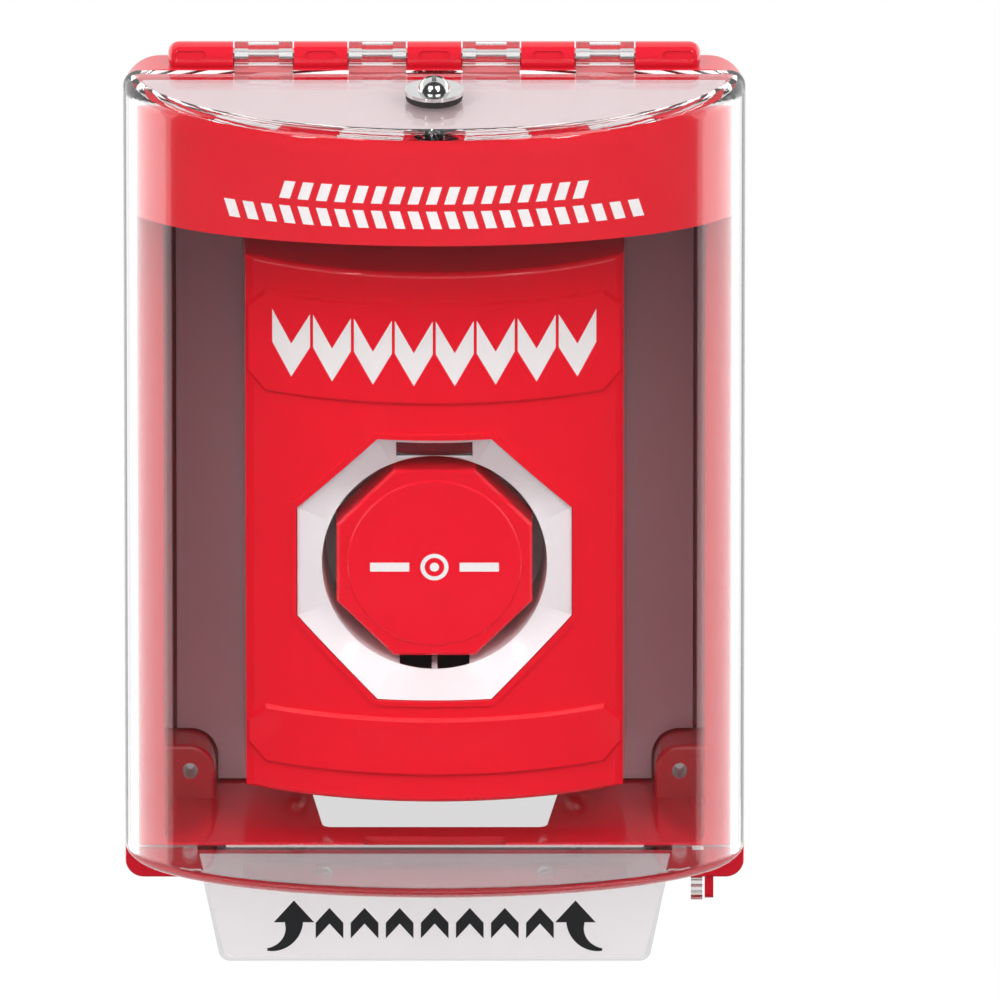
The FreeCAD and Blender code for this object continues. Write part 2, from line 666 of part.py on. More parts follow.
def clear_cover():
    outer = cover_form(0.0)
    rounded = [e for e in outer.Edges if e.CenterOfMass.y < COVER_BACK - 5 and e.Length > 100]
    outer = outer.makeFillet(COVER_EDGE_ROUND, rounded)
    inner = cover_form(COVER_WALL)
    shell = outer.cut(inner)
    tab = tab_plate(0.0, COVER_BACK - TAB_THICKNESS, COVER_BACK, COVER_BOTTOM + COVER_WALL, TAB_BOTTOM)
    ear_top = COVER_BOTTOM + COVER_WALL / 2
    low, high = SEAL_EAR_COVER
    ear_low = SEAL_EAR_BOTTOM + SEAL_EAR_ROUND
    ear_arm = block(low, high, COVER_BACK - TAB_THICKNESS, COVER_BACK, ear_low, ear_top)
    under_rim = -RIM_HEIGHT / 2 - SEAL_EAR_TOP_GAP
    ear_back = COVER_BACK + SEAL_EAR_SETBACK + SEAL_EAR_DEPTH
    ear = seal_ear(SEAL_EAR_COVER, COVER_BACK - TAB_THICKNESS / 5, ear_back, under_rim)
    shell = shell.fuse([tab, ear_arm, ear])
    for span in mirrored_spans(MOVING_KNUCKLES):
        shell = shell.fuse(moving_knuckle(*span))
    pin_hole = PIN_DIAMETER + 2 * PIN_CLEARANCE
    cuts = [
        rod_x(pin_hole, -HINGE_HALF_LENGTH, HINGE_HALF_LENGTH, HINGE_Y, HINGE_Z),
        top_screw_bore(TOP_SCREW_SHANK + 0.4),
    ]
    return shell.cut(cuts).removeSplitter()


def cover_label():
    """The printed film inside the front of the cover, its lower edge drafted like the cover's bottom."""
    inset = COVER_WALL + LABEL_GAP
    low = COVER_TOP - COVER_WALL - LABEL_HEIGHT
    band = cover_form(inset).cut(half_ellipse(inset + LABEL_THICKNESS, COVER_BOTTOM - 6, COVER_TOP + 6))
    band = band.common(drafted_slab(COVER_TOP, low, COVER_REACH))
    return band.cut(block(-RIM_WIDTH, RIM_WIDTH, COVER_BACK - LABEL_BACK_GAP, 0, COVER_BOTTOM, COVER_TOP))


def tab_label():
    front = COVER_BACK - TAB_THICKNESS - LABEL_GAP
    top = COVER_BOTTOM - TAB_LABEL_TOP_GAP
    bottom = TAB_BOTTOM + TAB_LABEL_BORDER
    return tab_plate(TAB_LABEL_BORDER, front - LABEL_THICKNESS, front, top, bottom)


def sounder_plan(inset, z0, z1):
    """The plan of the sounder case between two heights, or one set in from it."""
    gap = COVER_WALL + LABEL_GAP + LABEL_THICKNESS + SOUNDER_GAP + inset
    back = COVER_BACK - SOUNDER_BACK_GAP - inset
    return half_ellipse(gap, z0, z1).cut(block(-RIM_WIDTH, RIM_WIDTH, back, 0, z0, z1))


def sounder_form(inset):
    """The outside of the sounder case, or the space in it when set in further."""
    top = COVER_TOP - COVER_WALL - SOUNDER_TOP_GAP - inset
    slab = drafted_slab(top, COVER_BOTTOM, COVER_REACH)
    return sounder_plan(inset, SOUNDER_BOTTOM + LID_THICKNESS, COVER_TOP).common(slab)


def sounder_case():
    case = sounder_form(0.0).cut(sounder_form(SOUNDER_WALL))
    under = cover_top_at(TOP_SCREW_REACH) - COVER_WALL - SOUNDER_TOP_GAP
    boss_width = TOP_SCREW_SHANK + 2 * SCREW_BOSS_WALL
    case = case.fuse(rod_z(boss_width, under - TOP_SCREW_LENGTH, under, 0, COVER_BACK - TOP_SCREW_REACH))
    for x, y in lid_screw_places():
        case = case.fuse(rod_z(LID_BOSS, SOUNDER_BOTTOM + LID_THICKNESS, COVER_TOP, x, y))
    case = case.common(sounder_form(0.0))
    cuts = [top_screw_bore(TOP_SCREW_SHANK)]
    pilot = SOUNDER_BOTTOM + LID_SCREW_LENGTH + 1
    cuts += [rod_z(FINE_SCREW, SOUNDER_BOTTOM, pilot, x, y) for x, y in lid_screw_places()]
    return case.cut(cuts)


def lid_screw_places():
    back = COVER_BACK - SOUNDER_BACK_GAP - SOUNDER_WALL - LID_SCREW_INSET
    return [(-LID_SCREW_X, back), (LID_SCREW_X, back), (0.0, COVER_BACK - COVER_REACH + LID_SCREW_FRONT)]


def sounder_lid():
    """The lid under the sounder, with slots below the horn."""
    z0, z1 = SOUNDER_BOTTOM, SOUNDER_BOTTOM + LID_THICKNESS
    lid = sounder_plan(0.0, z0, z1)
    cuts = []
    radius = HORN_DIAMETER / 2
    for k in range(LID_SLOTS):
        shift = (k - (LID_SLOTS - 1) / 2) * LID_SLOT_PITCH
        half = max(math.sqrt(max(radius ** 2 - shift ** 2, 0.0)), LID_SLOT_SHORTEST) - LID_SLOT_BORDER
        y = COVER_BACK - HORN_REACH + shift
        y0, y1 = y - LID_SLOT_WIDTH / 2, y + LID_SLOT_WIDTH / 2
        cuts.append(block(HORN_X - half, HORN_X + half, y0, y1, z0 - 1, z1 + 1))
    cuts += [rod_z(SMALL_SCREW, z0 - 1, z1 + 1, x, y) for x, y in lid_screw_places()]
    return lid.cut(cuts)


def fine_screw(length):
    """A fine pan head screw, its shank along -Z."""
    return pan_screw(FINE_SCREW, length, FINE_SCREW_HEAD, FINE_SCREW_HEAD_HEIGHT, THREAD_CLEARANCE)


def lid_screws():
    screws = []
    for x, y in lid_screw_places():
        screw = fine_screw(LID_SCREW_LENGTH)
        screw.rotate(vec(0, 0, 0), AXIS_X, 180)
        screw.translate(vec(x, y, SOUNDER_BOTTOM))
        screws.append(screw)
    return Part.makeCompound(screws)


def horn():
    """The piezo horn, a shallow can with a raised ring towards the slots."""
    z0 = SOUNDER_BOTTOM + LID_THICKNESS
    y = COVER_BACK - HORN_REACH
    can = rod_z(HORN_DIAMETER, z0, z0 + HORN_HEIGHT, HORN_X, y)
    mouth = rod_z(HORN_DIAMETER - 2 * HORN_WALL, z0 - 1, z0 + HORN_MOUTH, HORN_X, y)
    cap = rod_z(HORN_DIAMETER * 0.4, z0 + HORN_MOUTH - 1, z0 + HORN_HEIGHT - 1, HORN_X, y)
    return can.cut(mouth).fuse(cap)


def sounder_board():
    z0 = SOUNDER_BOTTOM + LID_THICKNESS + HORN_HEIGHT
    y = COVER_BACK - HORN_REACH
    half_x, half_y = SOUNDER_BOARD[0] / 2, SOUNDER_BOARD[1] / 2
    return block(HORN_X - half_x, HORN_X + half_x, y - half_y, y + half_y, z0, z0 + BOARD_THICKNESS)


def tilt_switch():
    """The sealed switch on the board that starts the horn when the cover is lifted."""
    z = SOUNDER_BOTTOM + LID_THICKNESS + HORN_HEIGHT + BOARD_THICKNESS + TILT_SWITCH_DIAMETER / 2
    y = COVER_BACK - HORN_REACH + TILT_SWITCH_SHIFT
    half = TILT_SWITCH_LENGTH / 2
    return rod_x(TILT_SWITCH_DIAMETER, HORN_X - half, HORN_X + half, y, z)


def battery_back():
    return COVER_BACK - SOUNDER_BACK_GAP - SOUNDER_WALL - BATTERY_GAP


def battery_studs(diameter, x0, x1):
    """Two studs side by side in the end of the battery, or their sockets."""
    y = battery_back() - BATTERY_SIZE[1] / 2
    z = SOUNDER_BOTTOM + LID_THICKNESS + BATTERY_SIZE[2] / 2
    return [rod_x(diameter, x0, x1, y + side * STUD_SPACING / 2, z) for side in (-1, 1)]


def battery():
    """The battery with its two studs."""
    length, width, height = BATTERY_SIZE
    z0 = SOUNDER_BOTTOM + LID_THICKNESS
    end = BATTERY_X + length / 2
    case = block(end - length, end, battery_back() - width, battery_back(), z0, z0 + height)
    case = case.makeFillet(BATTERY_ROUND, edges_along(case, AXIS_X))
    return case.fuse(battery_studs(STUD_DIAMETER, end - 0.5, end + STUD_LENGTH))


def battery_snap():
    """The snap connector on the battery's studs."""
    length, width, height = BATTERY_SIZE
    z0 = SOUNDER_BOTTOM + LID_THICKNESS
    end = BATTERY_X + length / 2
    snap = block(end + 0.1, end + SNAP_THICKNESS, battery_back() - width, battery_back(), z0, z0 + height)
    snap = snap.makeFillet(BATTERY_ROUND, edges_along(snap, AXIS_X))
    return snap.cut(battery_studs(STUD_DIAMETER + 0.1, end - 1, end + STUD_LENGTH + 0.1))


def tilt_to_top(shape):
    """Lean a fastener to the slope of the cover's top and put it at the screw's place."""
    shape.rotate(vec(0, 0, 0), AXIS_X, COVER_DRAFT)
    shape.translate(vec(0, COVER_BACK - TOP_SCREW_REACH, cover_top_at(TOP_SCREW_REACH)))
    return shape


def top_screw_bore(diameter):
    """The hole for the top screw, square to the cover's sloping top."""
    low = -TOP_SCREW_LENGTH - 3
    return tilt_to_top(Part.makeCylinder(diameter / 2, TOP_SCREW_LENGTH + 8, vec(0, 0, low)))


def ring_washer(outer, hole, z0, z1):
    return Part.makeCylinder(outer / 2, z1 - z0, vec(0, 0, z0)).cut(
        Part.makeCylinder(hole / 2, z1 - z0 + 2, vec(0, 0, z0 - 1))
    )


def sealing_washer():
    washer = ring_washer(SEAL_WASHER_DIAMETER, TOP_SCREW_SHANK + 0.2, 0.0, SEAL_WASHER_THICKNESS)
    edges = [e for e in washer.Edges if e.Length > math.pi * (SEAL_WASHER_DIAMETER + TOP_SCREW_SHANK) / 2]
    washer = washer.makeFillet(SEAL_WASHER_ROUND, edges)
    return tilt_to_top(washer)


def screw_washer():
    low = SEAL_WASHER_THICKNESS
    washer = ring_washer(WASHER_DIAMETER, TOP_SCREW_SHANK + 0.2, low, low + WASHER_THICKNESS)
    return tilt_to_top(washer)


def top_screw():
    screw = pan_screw(TOP_SCREW_SHANK, TOP_SCREW_LENGTH, TOP_SCREW_HEAD, TOP_SCREW_HEAD_HEIGHT, 0.1)
    screw.translate(vec(0, 0, SEAL_WASHER_THICKNESS + WASHER_THICKNESS))
    return tilt_to_top(screw)


def mounting_plate():
    """The grey plate on the back wall that carries the station."""
    half = BOX_HALF_WIDTH - BOX_WALL - SIDE_DRAFT - PLATE_GAP
    top = BOX_TOP - BOX_WALL - SIDE_DRAFT - PLATE_GAP
    bottom = floor_at(PLATE_BACK) + PLATE_GAP
    plate = rounded_plate(half, bottom, top, PLATE_FRONT, PLATE_BACK, BOX_CORNER - 1, CAVITY_CORNER)
    cuts = [pillar_form(x, z, PLATE_GAP, PLATE_FRONT - 1, PLATE_BACK + 1) for x, z in wall_screw_places()]
    cuts.append(rear_hole(PLATE_FRONT - 1, PLATE_BACK + 1))
    places = plate_screw_places() + base_screw_places()
    cuts += [rod_y(SMALL_SCREW, PLATE_FRONT - 1, PLATE_BACK + 1, x, z) for x, z in places]
    return plate.cut(cuts)


def plate_screw_places():
    return [(side * x, z) for x, z in (PLATE_SCREWS_TOP, PLATE_SCREWS_BOTTOM) for side in (-1, 1)]


def base_screw_places():
    return [(sx * BASE_SCREW_X, BUTTON_Z + sz * BASE_SCREW_RISE) for sx in (-1, 1) for sz in (-1, 1)]


def face_screws(places, y, length):
    """Small pan head screws driven from the room side into a face at y."""
    screws = []
    for x, z in places:
        screw = pan_screw(SMALL_SCREW, length, SMALL_SCREW_HEAD, SMALL_SCREW_HEAD_HEIGHT, THREAD_CLEARANCE)
        screws.append(facing_room(screw, x, y, z))
    return Part.makeCompound(screws)


def station_slice(inset, y0, y1):
    """The station's outline, set in by a distance, between two depths."""
    return station_form(0.0, inset).common(block(-RIM_WIDTH, RIM_WIDTH, y0, y1, -RIM_HEIGHT, RIM_HEIGHT))


def station_gasket():
    inner = station_slice(BASE_GASKET, STATION_BACK - 0.5, STATION_BACK)
    outline = max(inner.Faces, key=lambda f: f.CenterOfMass.y if abs(f.normalAt(0, 0).y) > 0.9 else -1e9)
    pad = outline.extrude(vec(0, BASE_GASKET, 0))
    cuts = [rod_y(SMALL_SCREW + 1, STATION_BACK - 1, 0, x, z) for x, z in base_screw_places()]
    cuts.append(rear_hole(STATION_BACK - 1, 0))
    return pad.cut(cuts)


def station_base():
    """The flat base inside the station's skirt, with bosses for its cover screws."""
    base = station_slice(STATION_WALL + BASE_FIT, BASE_FRONT, STATION_BACK)
    half = LOCK_BOSS_WIDTH / 2
    low = STATION_BOTTOM + STATION_WALL + 2 * BASE_FIT
    high = low + LOCK_BOSS_HEIGHT
    for x in (-LOCK_SCREW_X, LOCK_SCREW_X):
        boss = block(x - half, x + half, BASE_FRONT - LOCK_BOSS_DEPTH, BASE_FRONT, low, high)
        base = base.fuse(boss).cut(rod_z(FINE_SCREW, STATION_BOTTOM - 5, high - 2, x, LOCK_SCREW_Y))
    cuts = [rod_y(SMALL_SCREW, BASE_FRONT - 1, 0, x, z) for x, z in base_screw_places()]
    half = WIRE_HOLE_WIDTH / 2
    wires = block(-half, half, BASE_FRONT - 1, 0, WIRE_HOLE_BOTTOM, REAR_HOLE_HEIGHT)
    cuts.append(rear_hole(BASE_FRONT - 1, 0).common(wires))
    return base.cut(cuts)


def cover_lock_screws():
    """Two screws that hold the station's front to its base from below."""
    screws = []
    for x in (-LOCK_SCREW_X, LOCK_SCREW_X):
        screw = fine_screw(LOCK_SCREW_LENGTH)
        screw.rotate(vec(0, 0, 0), AXIS_X, 180)
        screw.translate(vec(x, LOCK_SCREW_Y, station_bottom_at(LOCK_SCREW_Y) - 0.15))
        screws.append(screw)
    return Part.makeCompound(screws)


def station_bottom_at(y):
    """Lowest point of the station's underside at a depth."""
    spread = (STATION_BACK - APEX) * math.tan(math.radians(STATION_DRAFT))
    share = (y - (APEX - 2)) / (STATION_BACK - (APEX - 2))
    return STATION_BOTTOM - spread * share


def raised_band(low, high):
    """A bevelled band with cut corners that follows the bowed front."""
    half = BAND_HALF_WIDTH
    cut = BAND_CORNER
    outline = [
        (-half, low + cut), (-half + cut, low), (half - cut, low), (half, low + cut),
        (half, high - cut), (half - cut, high), (-half + cut, high), (-half, high - cut),
    ]
    radius = BOW_RADIUS + BAND_RAISE
    column = Part.makeCylinder(radius, high - low + 2, vec(0, BOW_CENTRE, low - 1), AXIS_Z)
    band = column.common(prism_y(outline, BOW_CENTRE - 1.2 * radius, BOW_CENTRE - BOW_RADIUS * 0.65))
    front = [e for e in band.Edges if is_on_bow(e, radius)]
    return band.makeChamfer(BAND_BEVEL, front)


def is_on_bow(edge, radius):
    """Whether both ends and the middle of an edge lie on an upright cylinder of the bow."""
    points = [edge.valueAt(edge.FirstParameter), edge.valueAt(edge.LastParameter)]
    points.append(edge.valueAt((edge.FirstParameter + edge.LastParameter) / 2))
    return all(abs(math.hypot(p.x, p.y - BOW_CENTRE) - radius) < 0.01 for p in points)


def station_cover():
    outer = station_form(0.0, 0.0)
    rims = [e for e in outer.Edges if is_on_bow(e, BOW_RADIUS) and not isinstance(e.Curve, Part.Line)]
    outer = outer.makeFillet(STATION_ROUND, rims)
    inner = station_form(-STATION_WALL, STATION_WALL)
    lip = prism_y(octagon(BEZEL_FLATS + 2 * BEZEL_LIP, BUTTON_Z), APEX - 5, BOW_CENTRE - BOW_RADIUS * 0.7)
    lip = lip.common(bow_cylinder(BOW_RADIUS + BEZEL_LIP_RAISE))
    outer = outer.fuse([lip, raised_band(*UPPER_BAND), raised_band(*LOWER_BAND)])
    cuts = [inner, prism_y(octagon(BEZEL_FLATS, BUTTON_Z), APEX - 5, APEX + BEZEL_FLATS / 2)]
    for x in (-LOCK_SCREW_X, LOCK_SCREW_X):
        cuts.append(rod_z(FINE_SCREW + 0.4, STATION_BOTTOM - 6, STATION_BOTTOM + 4, x, LOCK_SCREW_Y))
    return outer.cut(cuts).removeSplitter()


def bow_cylinder(radius):
    """An upright cylinder about the middle of the bow, as high as the bezel and more."""
    low = BUTTON_Z - 0.75 * BEZEL_FLATS
    return Part.makeCylinder(radius, 1.5 * BEZEL_FLATS, vec(0, BOW_CENTRE, low), AXIS_Z)


def bezel_funnel_faces(block_solid):
    """The sloping faces between the octagon on the bow and the round edge of the bowl."""
    front = max(block_solid.Faces, key=lambda f: -f.CenterOfMass.y)
    edges = front.OuterWire.OrderedEdges
    radius = BOWL_DIAMETER / 2
    faces = []
    for edge in edges:
        start = edge.firstVertex(True).Point
        end = edge.lastVertex(True).Point
        points = []
        for share in (0.0, 0.5, 1.0):
            a0 = math.atan2(start.z - BUTTON_Z, start.x)
            a1 = math.atan2(end.z - BUTTON_Z, end.x)
            turn = (a1 - a0 + math.pi) % (2 * math.pi) - math.pi
            angle = a0 + turn * share
            points.append(vec(radius * math.cos(angle), BOWL_EDGE, BUTTON_Z + radius * math.sin(angle)))
        arc = Part.Arc(points[0], points[1], points[2]).toShape()
        rail = Part.Wire([edge])
        faces += Part.makeLoft([rail, Part.Wire([arc])], False, True).Faces
    return front, faces


def bezel():
    """The white octagonal bezel with its sloping faces, bowl and guide tube."""
    flats = BEZEL_FLATS - 2 * BEZEL_FIT
    back = BOWL_FLOOR + BEZEL_WALL
    plug = prism_y(octagon(flats, BUTTON_Z), APEX - 5, APEX + BEZEL_SKIRT)
    plug = plug.common(bow_cylinder(BOW_RADIUS - 0.1))
    front, funnel = bezel_funnel_faces(plug)
    bowl_edge = Part.Circle(vec(0, BOWL_EDGE, BUTTON_Z), AXIS_Y, BOWL_DIAMETER / 2).toShape()
    lid = Part.Face(Part.Wire([bowl_edge]))
    others = [f for f in plug.Faces if not f.isSame(front)]
    shell = Part.makeShell(others + funnel + [lid])
    shell.sewShape()
    solid = Part.makeSolid(Part.Shell(shell.Faces))
    if solid.Volume < 0:
        solid.reverse()
    edge_radius, floor_radius = BOWL_DIAMETER / 2, BOWL_FLOOR_DIAMETER / 2
    bowl = Part.makeCone(edge_radius, floor_radius, BOWL_DEPTH, vec(0, BOWL_EDGE, BUTTON_Z), AXIS_Y)
    cup_front = vec(0, BOWL_EDGE + BEZEL_WALL, BUTTON_Z)
    cup_depth = back - cup_front.y
    cup = Part.makeCone(edge_radius + BEZEL_WALL, floor_radius + BEZEL_WALL, cup_depth, cup_front, AXIS_Y)
    guide = rod_y(GUIDE_DIAMETER, BOWL_FLOOR, back + GUIDE_LENGTH, 0, BUTTON_Z)
    bore = rod_y(STEM_DIAMETER + 2 * STEM_CLEARANCE, BOWL_FLOOR - 1, back + GUIDE_LENGTH + 1, 0, BUTTON_Z)
    drains = []
    for side in (-1, 1):
        x0, x1 = sorted((side * DRAIN_RIB / 2, side * (DRAIN_RIB / 2 + DRAIN_WIDTH)))
        low = BUTTON_Z - BOWL_DIAMETER / 2
        z0, z1 = low - BEZEL_WALL - 1, low + DRAIN_DEPTH
        drains.append(block(x0, x1, BOWL_EDGE + 0.2, BOWL_FLOOR - 1.0, z0, z1))
    reach = rod_y(BOWL_DIAMETER + 2 * BEZEL_WALL + 1, BOWL_EDGE, BOWL_FLOOR, 0, BUTTON_Z)
    drains = [drain.common(reach) for drain in drains]
    return solid.fuse([cup, guide]).cut([bowl, bore, window_pocket()] + drains)


def on_slope(shape):
    """Turn a shape made along Z to stand square on the bezel's upper slope, at the window's place."""
    rise = BEZEL_FLATS / 2 - BOWL_DIAMETER / 2
    shape.rotate(vec(0, 0, 0), AXIS_X, 90 + math.degrees(math.atan2(BOWL_SETBACK, rise)))
    middle_z = BUTTON_Z + BOWL_DIAMETER / 2 + rise * WINDOW_SHARE
    shape.translate(vec(0, BOWL_EDGE - BOWL_SETBACK * WINDOW_SHARE, middle_z))
    return shape


def window_solid(width, length, front, back):
    """A block square to the upper slope of the bezel, from a depth behind it to a height in front."""
    return on_slope(block(-width / 2, width / 2, -length / 2, length / 2, -back, front))


def window_pocket():
    fit = 2 * WINDOW_FIT
    seat = window_solid(WINDOW_WIDTH + fit, WINDOW_LENGTH + fit, BOWL_SETBACK, WINDOW_THICKNESS + WINDOW_FIT)
    light = window_solid(WINDOW_WIDTH - 3, WINDOW_LENGTH - 2, 0.0, LAMP_BOARD_DEPTH + LAMP_BOARD_THICKNESS)
    return seat.fuse(light)


def indicator_window():
    return window_solid(WINDOW_WIDTH, WINDOW_LENGTH, 0.0, WINDOW_THICKNESS)


def indicator_board():
    """The small board behind the window with its two lamps."""
    width = WINDOW_WIDTH + 2 * LAMP_BOARD_BORDER
    length = WINDOW_LENGTH + LAMP_BOARD_THICKNESS
    board = window_solid(width, length, -LAMP_BOARD_DEPTH, LAMP_BOARD_DEPTH + LAMP_BOARD_THICKNESS)
    lamps = []
    for side in (-1, 1):
        lamp = Part.makeCylinder(LAMP_DIAMETER / 2, LAMP_LENGTH)
        lamp = lamp.fuse(Part.makeSphere(LAMP_DIAMETER / 2, vec(0, 0, LAMP_LENGTH)))
        lamp.translate(vec(side * LAMP_SPACING / 2, 0, -LAMP_BOARD_DEPTH))
        lamps.append(on_slope(lamp))
    return board.fuse(lamps)


def button_cap():
    """The octagonal button, hollow at the back, with a raised disc on its face."""
    body = prism_y(octagon(BUTTON_FLATS, BUTTON_Z), BUTTON_FACE, BUTTON_BACK)
    rim = [e for e in body.Edges if abs(e.CenterOfMass.y - BUTTON_FACE) < 0.01]
    body = body.makeChamfer(BUTTON_CHAMFER, rim)
    disc = Part.makeCone(
        BUTTON_DISC / 2 - BUTTON_DISC_RAISE, BUTTON_DISC / 2, BUTTON_DISC_RAISE,
        vec(0, BUTTON_FACE - BUTTON_DISC_RAISE, BUTTON_Z), AXIS_Y,
    )
    skin = BUTTON_FACE + BUTTON_WALL
    hollow = prism_y(octagon(BUTTON_FLATS - 2 * BUTTON_WALL, BUTTON_Z), skin + 1, BUTTON_BACK + 1)
    hub = rod_y(STEM_DIAMETER + 2 * BUTTON_WALL, skin, HUB_BACK, 0, BUTTON_Z)
    socket = rod_y(STEM_DIAMETER + 2 * STEM_CLEARANCE, skin + 2, BUTTON_BACK + 1, 0, BUTTON_Z)
    return body.fuse(disc).cut(hollow).fuse(hub).cut(socket)


def push_stem():
    """The stem that the button turns and pushes on, with a collar for its spring."""
    end = BRIDGE_FRONT - 0.02
    stem = rod_y(STEM_DIAMETER, BUTTON_FACE + BUTTON_WALL + 2.05, end - STEM_NOSE, 0, BUTTON_Z)
    nose = rod_y(STEM_DIAMETER / 2, end - STEM_NOSE, end, 0, BUTTON_Z)
    return stem.fuse(nose)


def moving_contact():
    """The brass bridge on the end of the stem."""
    width, height, thick = BRIDGE_SIZE
    y0 = BRIDGE_FRONT
    bridge = block(-width / 2, width / 2, y0, y0 + thick, BUTTON_Z - height / 2, BUTTON_Z + height / 2)
    tip_x = (width - TIP_DIAMETER - 1) / 2
    y1 = y0 + thick
    tips = [rod_y(TIP_DIAMETER, y1, y1 + TIP_HEIGHT, side * tip_x, BUTTON_Z) for side in (-1, 1)]
    return bridge.fuse(tips)


def fixed_contacts():
    """Two brass strips on the floor of the contact block, out to the terminals."""
    strips = []
    y1 = BASE_FRONT - CONTACT_BLOCK_WALL
    low, high = STRIP_RISE
    tip_x = (BRIDGE_SIZE[0] - TIP_DIAMETER - 1) / 2
    for side in (-1, 1):
        x0, x1 = sorted(side * x for x in STRIP_SPAN)
        strip = block(x0, x1, y1 - STRIP_THICKNESS, y1, BUTTON_Z + low, BUTTON_Z + high)
        tip = rod_y(TIP_DIAMETER, CONTACT_TIP, y1 - STRIP_THICKNESS, side * tip_x, BUTTON_Z)
        screw_hole = rod_y(FINE_SCREW, y1 - 2, y1 + 1, side * TERMINAL_X, BUTTON_Z + TERMINAL_RISE)
        strips.append(strip.fuse(tip).cut(screw_hole))
    return Part.makeCompound(strips)


def contact_block():
    """The moulded switch body on the base, open in the middle for the bridge."""
    width, height = CONTACT_BLOCK
    wall = CONTACT_BLOCK_WALL
    body = block(-width / 2, width / 2, BLOCK_FRONT, BASE_FRONT, BUTTON_Z - height / 2, BUTTON_Z + height / 2)
    body = body.makeFillet(CONTACT_BLOCK_ROUND, edges_along(body, AXIS_Y))
    hollow = block(
        -width / 2 + wall, width / 2 - wall, BLOCK_FRONT + wall, BASE_FRONT - wall,
        BUTTON_Z - height / 2 + wall, BUTTON_Z + height / 2 - wall,
    )
    y0, y1 = BLOCK_FRONT - 1, BLOCK_FRONT + wall + 1
    cuts = [hollow, rod_y(STEM_DIAMETER + 1.0, y0, y1, 0, BUTTON_Z)]
    for side in (-1, 1):
        cuts.append(rod_y(FINE_SCREW_HEAD, y0, y1, side * TERMINAL_X, BUTTON_Z + TERMINAL_RISE))
    return body.cut(cuts)


def terminal_screws():
    """Screws on the contact strips, reached through the front of the block."""
    screws = []
    y = BASE_FRONT - CONTACT_BLOCK_WALL - STRIP_THICKNESS
    for side in (-1, 1):
        screw = fine_screw(STRIP_THICKNESS - 0.05)
        screws.append(facing_room(screw, side * TERMINAL_X, y, BUTTON_Z + TERMINAL_RISE))
    return Part.makeCompound(screws)


def button_spring():
    """The return spring round the stem, between the bowl floor and the button's hub."""
    coil = STEM_DIAMETER / 2 + SPRING_CLEARANCE + SPRING_WIRE / 2
    y0 = HUB_BACK + SPRING_WIRE / 2 + 0.05
    y1 = BOWL_FLOOR - SPRING_WIRE / 2 - 0.05
    pitch = (y1 - y0) / SPRING_TURNS
    helix = Part.makeHelix(pitch, y1 - y0, coil)
    profile = Part.Wire([Part.Circle(vec(coil, 0, 0), AXIS_Y, SPRING_WIRE / 2).toShape()])
    spring = Part.Wire(helix.Edges).makePipeShell([profile], True, True)
    spring.rotate(vec(0, 0, 0), AXIS_X, -90)
    spring.translate(vec(0, y0, BUTTON_Z))
    return spring


def rim_gasket():
    return rim_gasket_run(FACE - GASKET_PROUD, FACE + GASKET_GROOVE - 0.02, 0.0)


PARTS = {
    "back_box": back_box,
    "wall_gasket": lambda: wall_gasket_ring(0.0),
    "rim_gasket": rim_gasket,
    "hinge_pin": hinge_pin,
    "mounting_plate": mounting_plate,
    "plate_screws": lambda: face_screws(plate_screw_places(), PLATE_FRONT, -PLATE_FRONT - SCREW_SKIN - 0.1),
    "station_gasket": station_gasket,
    "station_base": station_base,
    "base_screws": lambda: face_screws(base_screw_places(), BASE_FRONT, PLATE_BACK - BASE_FRONT),
    "station_cover": station_cover,
    "cover_lock_screws": cover_lock_screws,
    "bezel": bezel,
    "indicator_window": indicator_window,
    "indicator_board": indicator_board,
    "contact_block": contact_block,
    "fixed_contacts": fixed_contacts,
    "terminal_screws": terminal_screws,
    "button_spring": button_spring,
    "push_stem": push_stem,
    "moving_contact": moving_contact,
    "button_cap": button_cap,
    "clear_cover": clear_cover,
    "cover_label": cover_label,
    "tab_label": tab_label,
    "sounder_case": sounder_case,
    "sounder_lid": sounder_lid,
    "lid_screws": lid_screws,
    "horn": horn,
    "sounder_board": sounder_board,
    "tilt_switch": tilt_switch,
    "battery": battery,
    "battery_snap": battery_snap,
    "sealing_washer": sealing_washer,
    "screw_washer": screw_washer,
    "top_screw": top_screw,
}


def main():
    os.makedirs("parts", exist_ok=True)
    for name, make in PARTS.items():
        shape = make()
        shape.exportStep(os.path.join("parts", name + ".step"))
        print(name, "solids", len(shape.Solids), "valid", shape.isValid(), "volume", round(shape.Volume, 1))


main()
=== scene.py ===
# %% [markdown]
# A red push button station sits in a wall box behind a clear cover that lifts up. The CAD nodes already have
# the right forms. This script sets up the camera and the light, gives every surface its finish, adds the printed
# marks, and winds a return spring. Everything is in metres, with the wall at Y = 0, the room
# towards -Y and Z up.

# %% Load the imported part
import json
import math

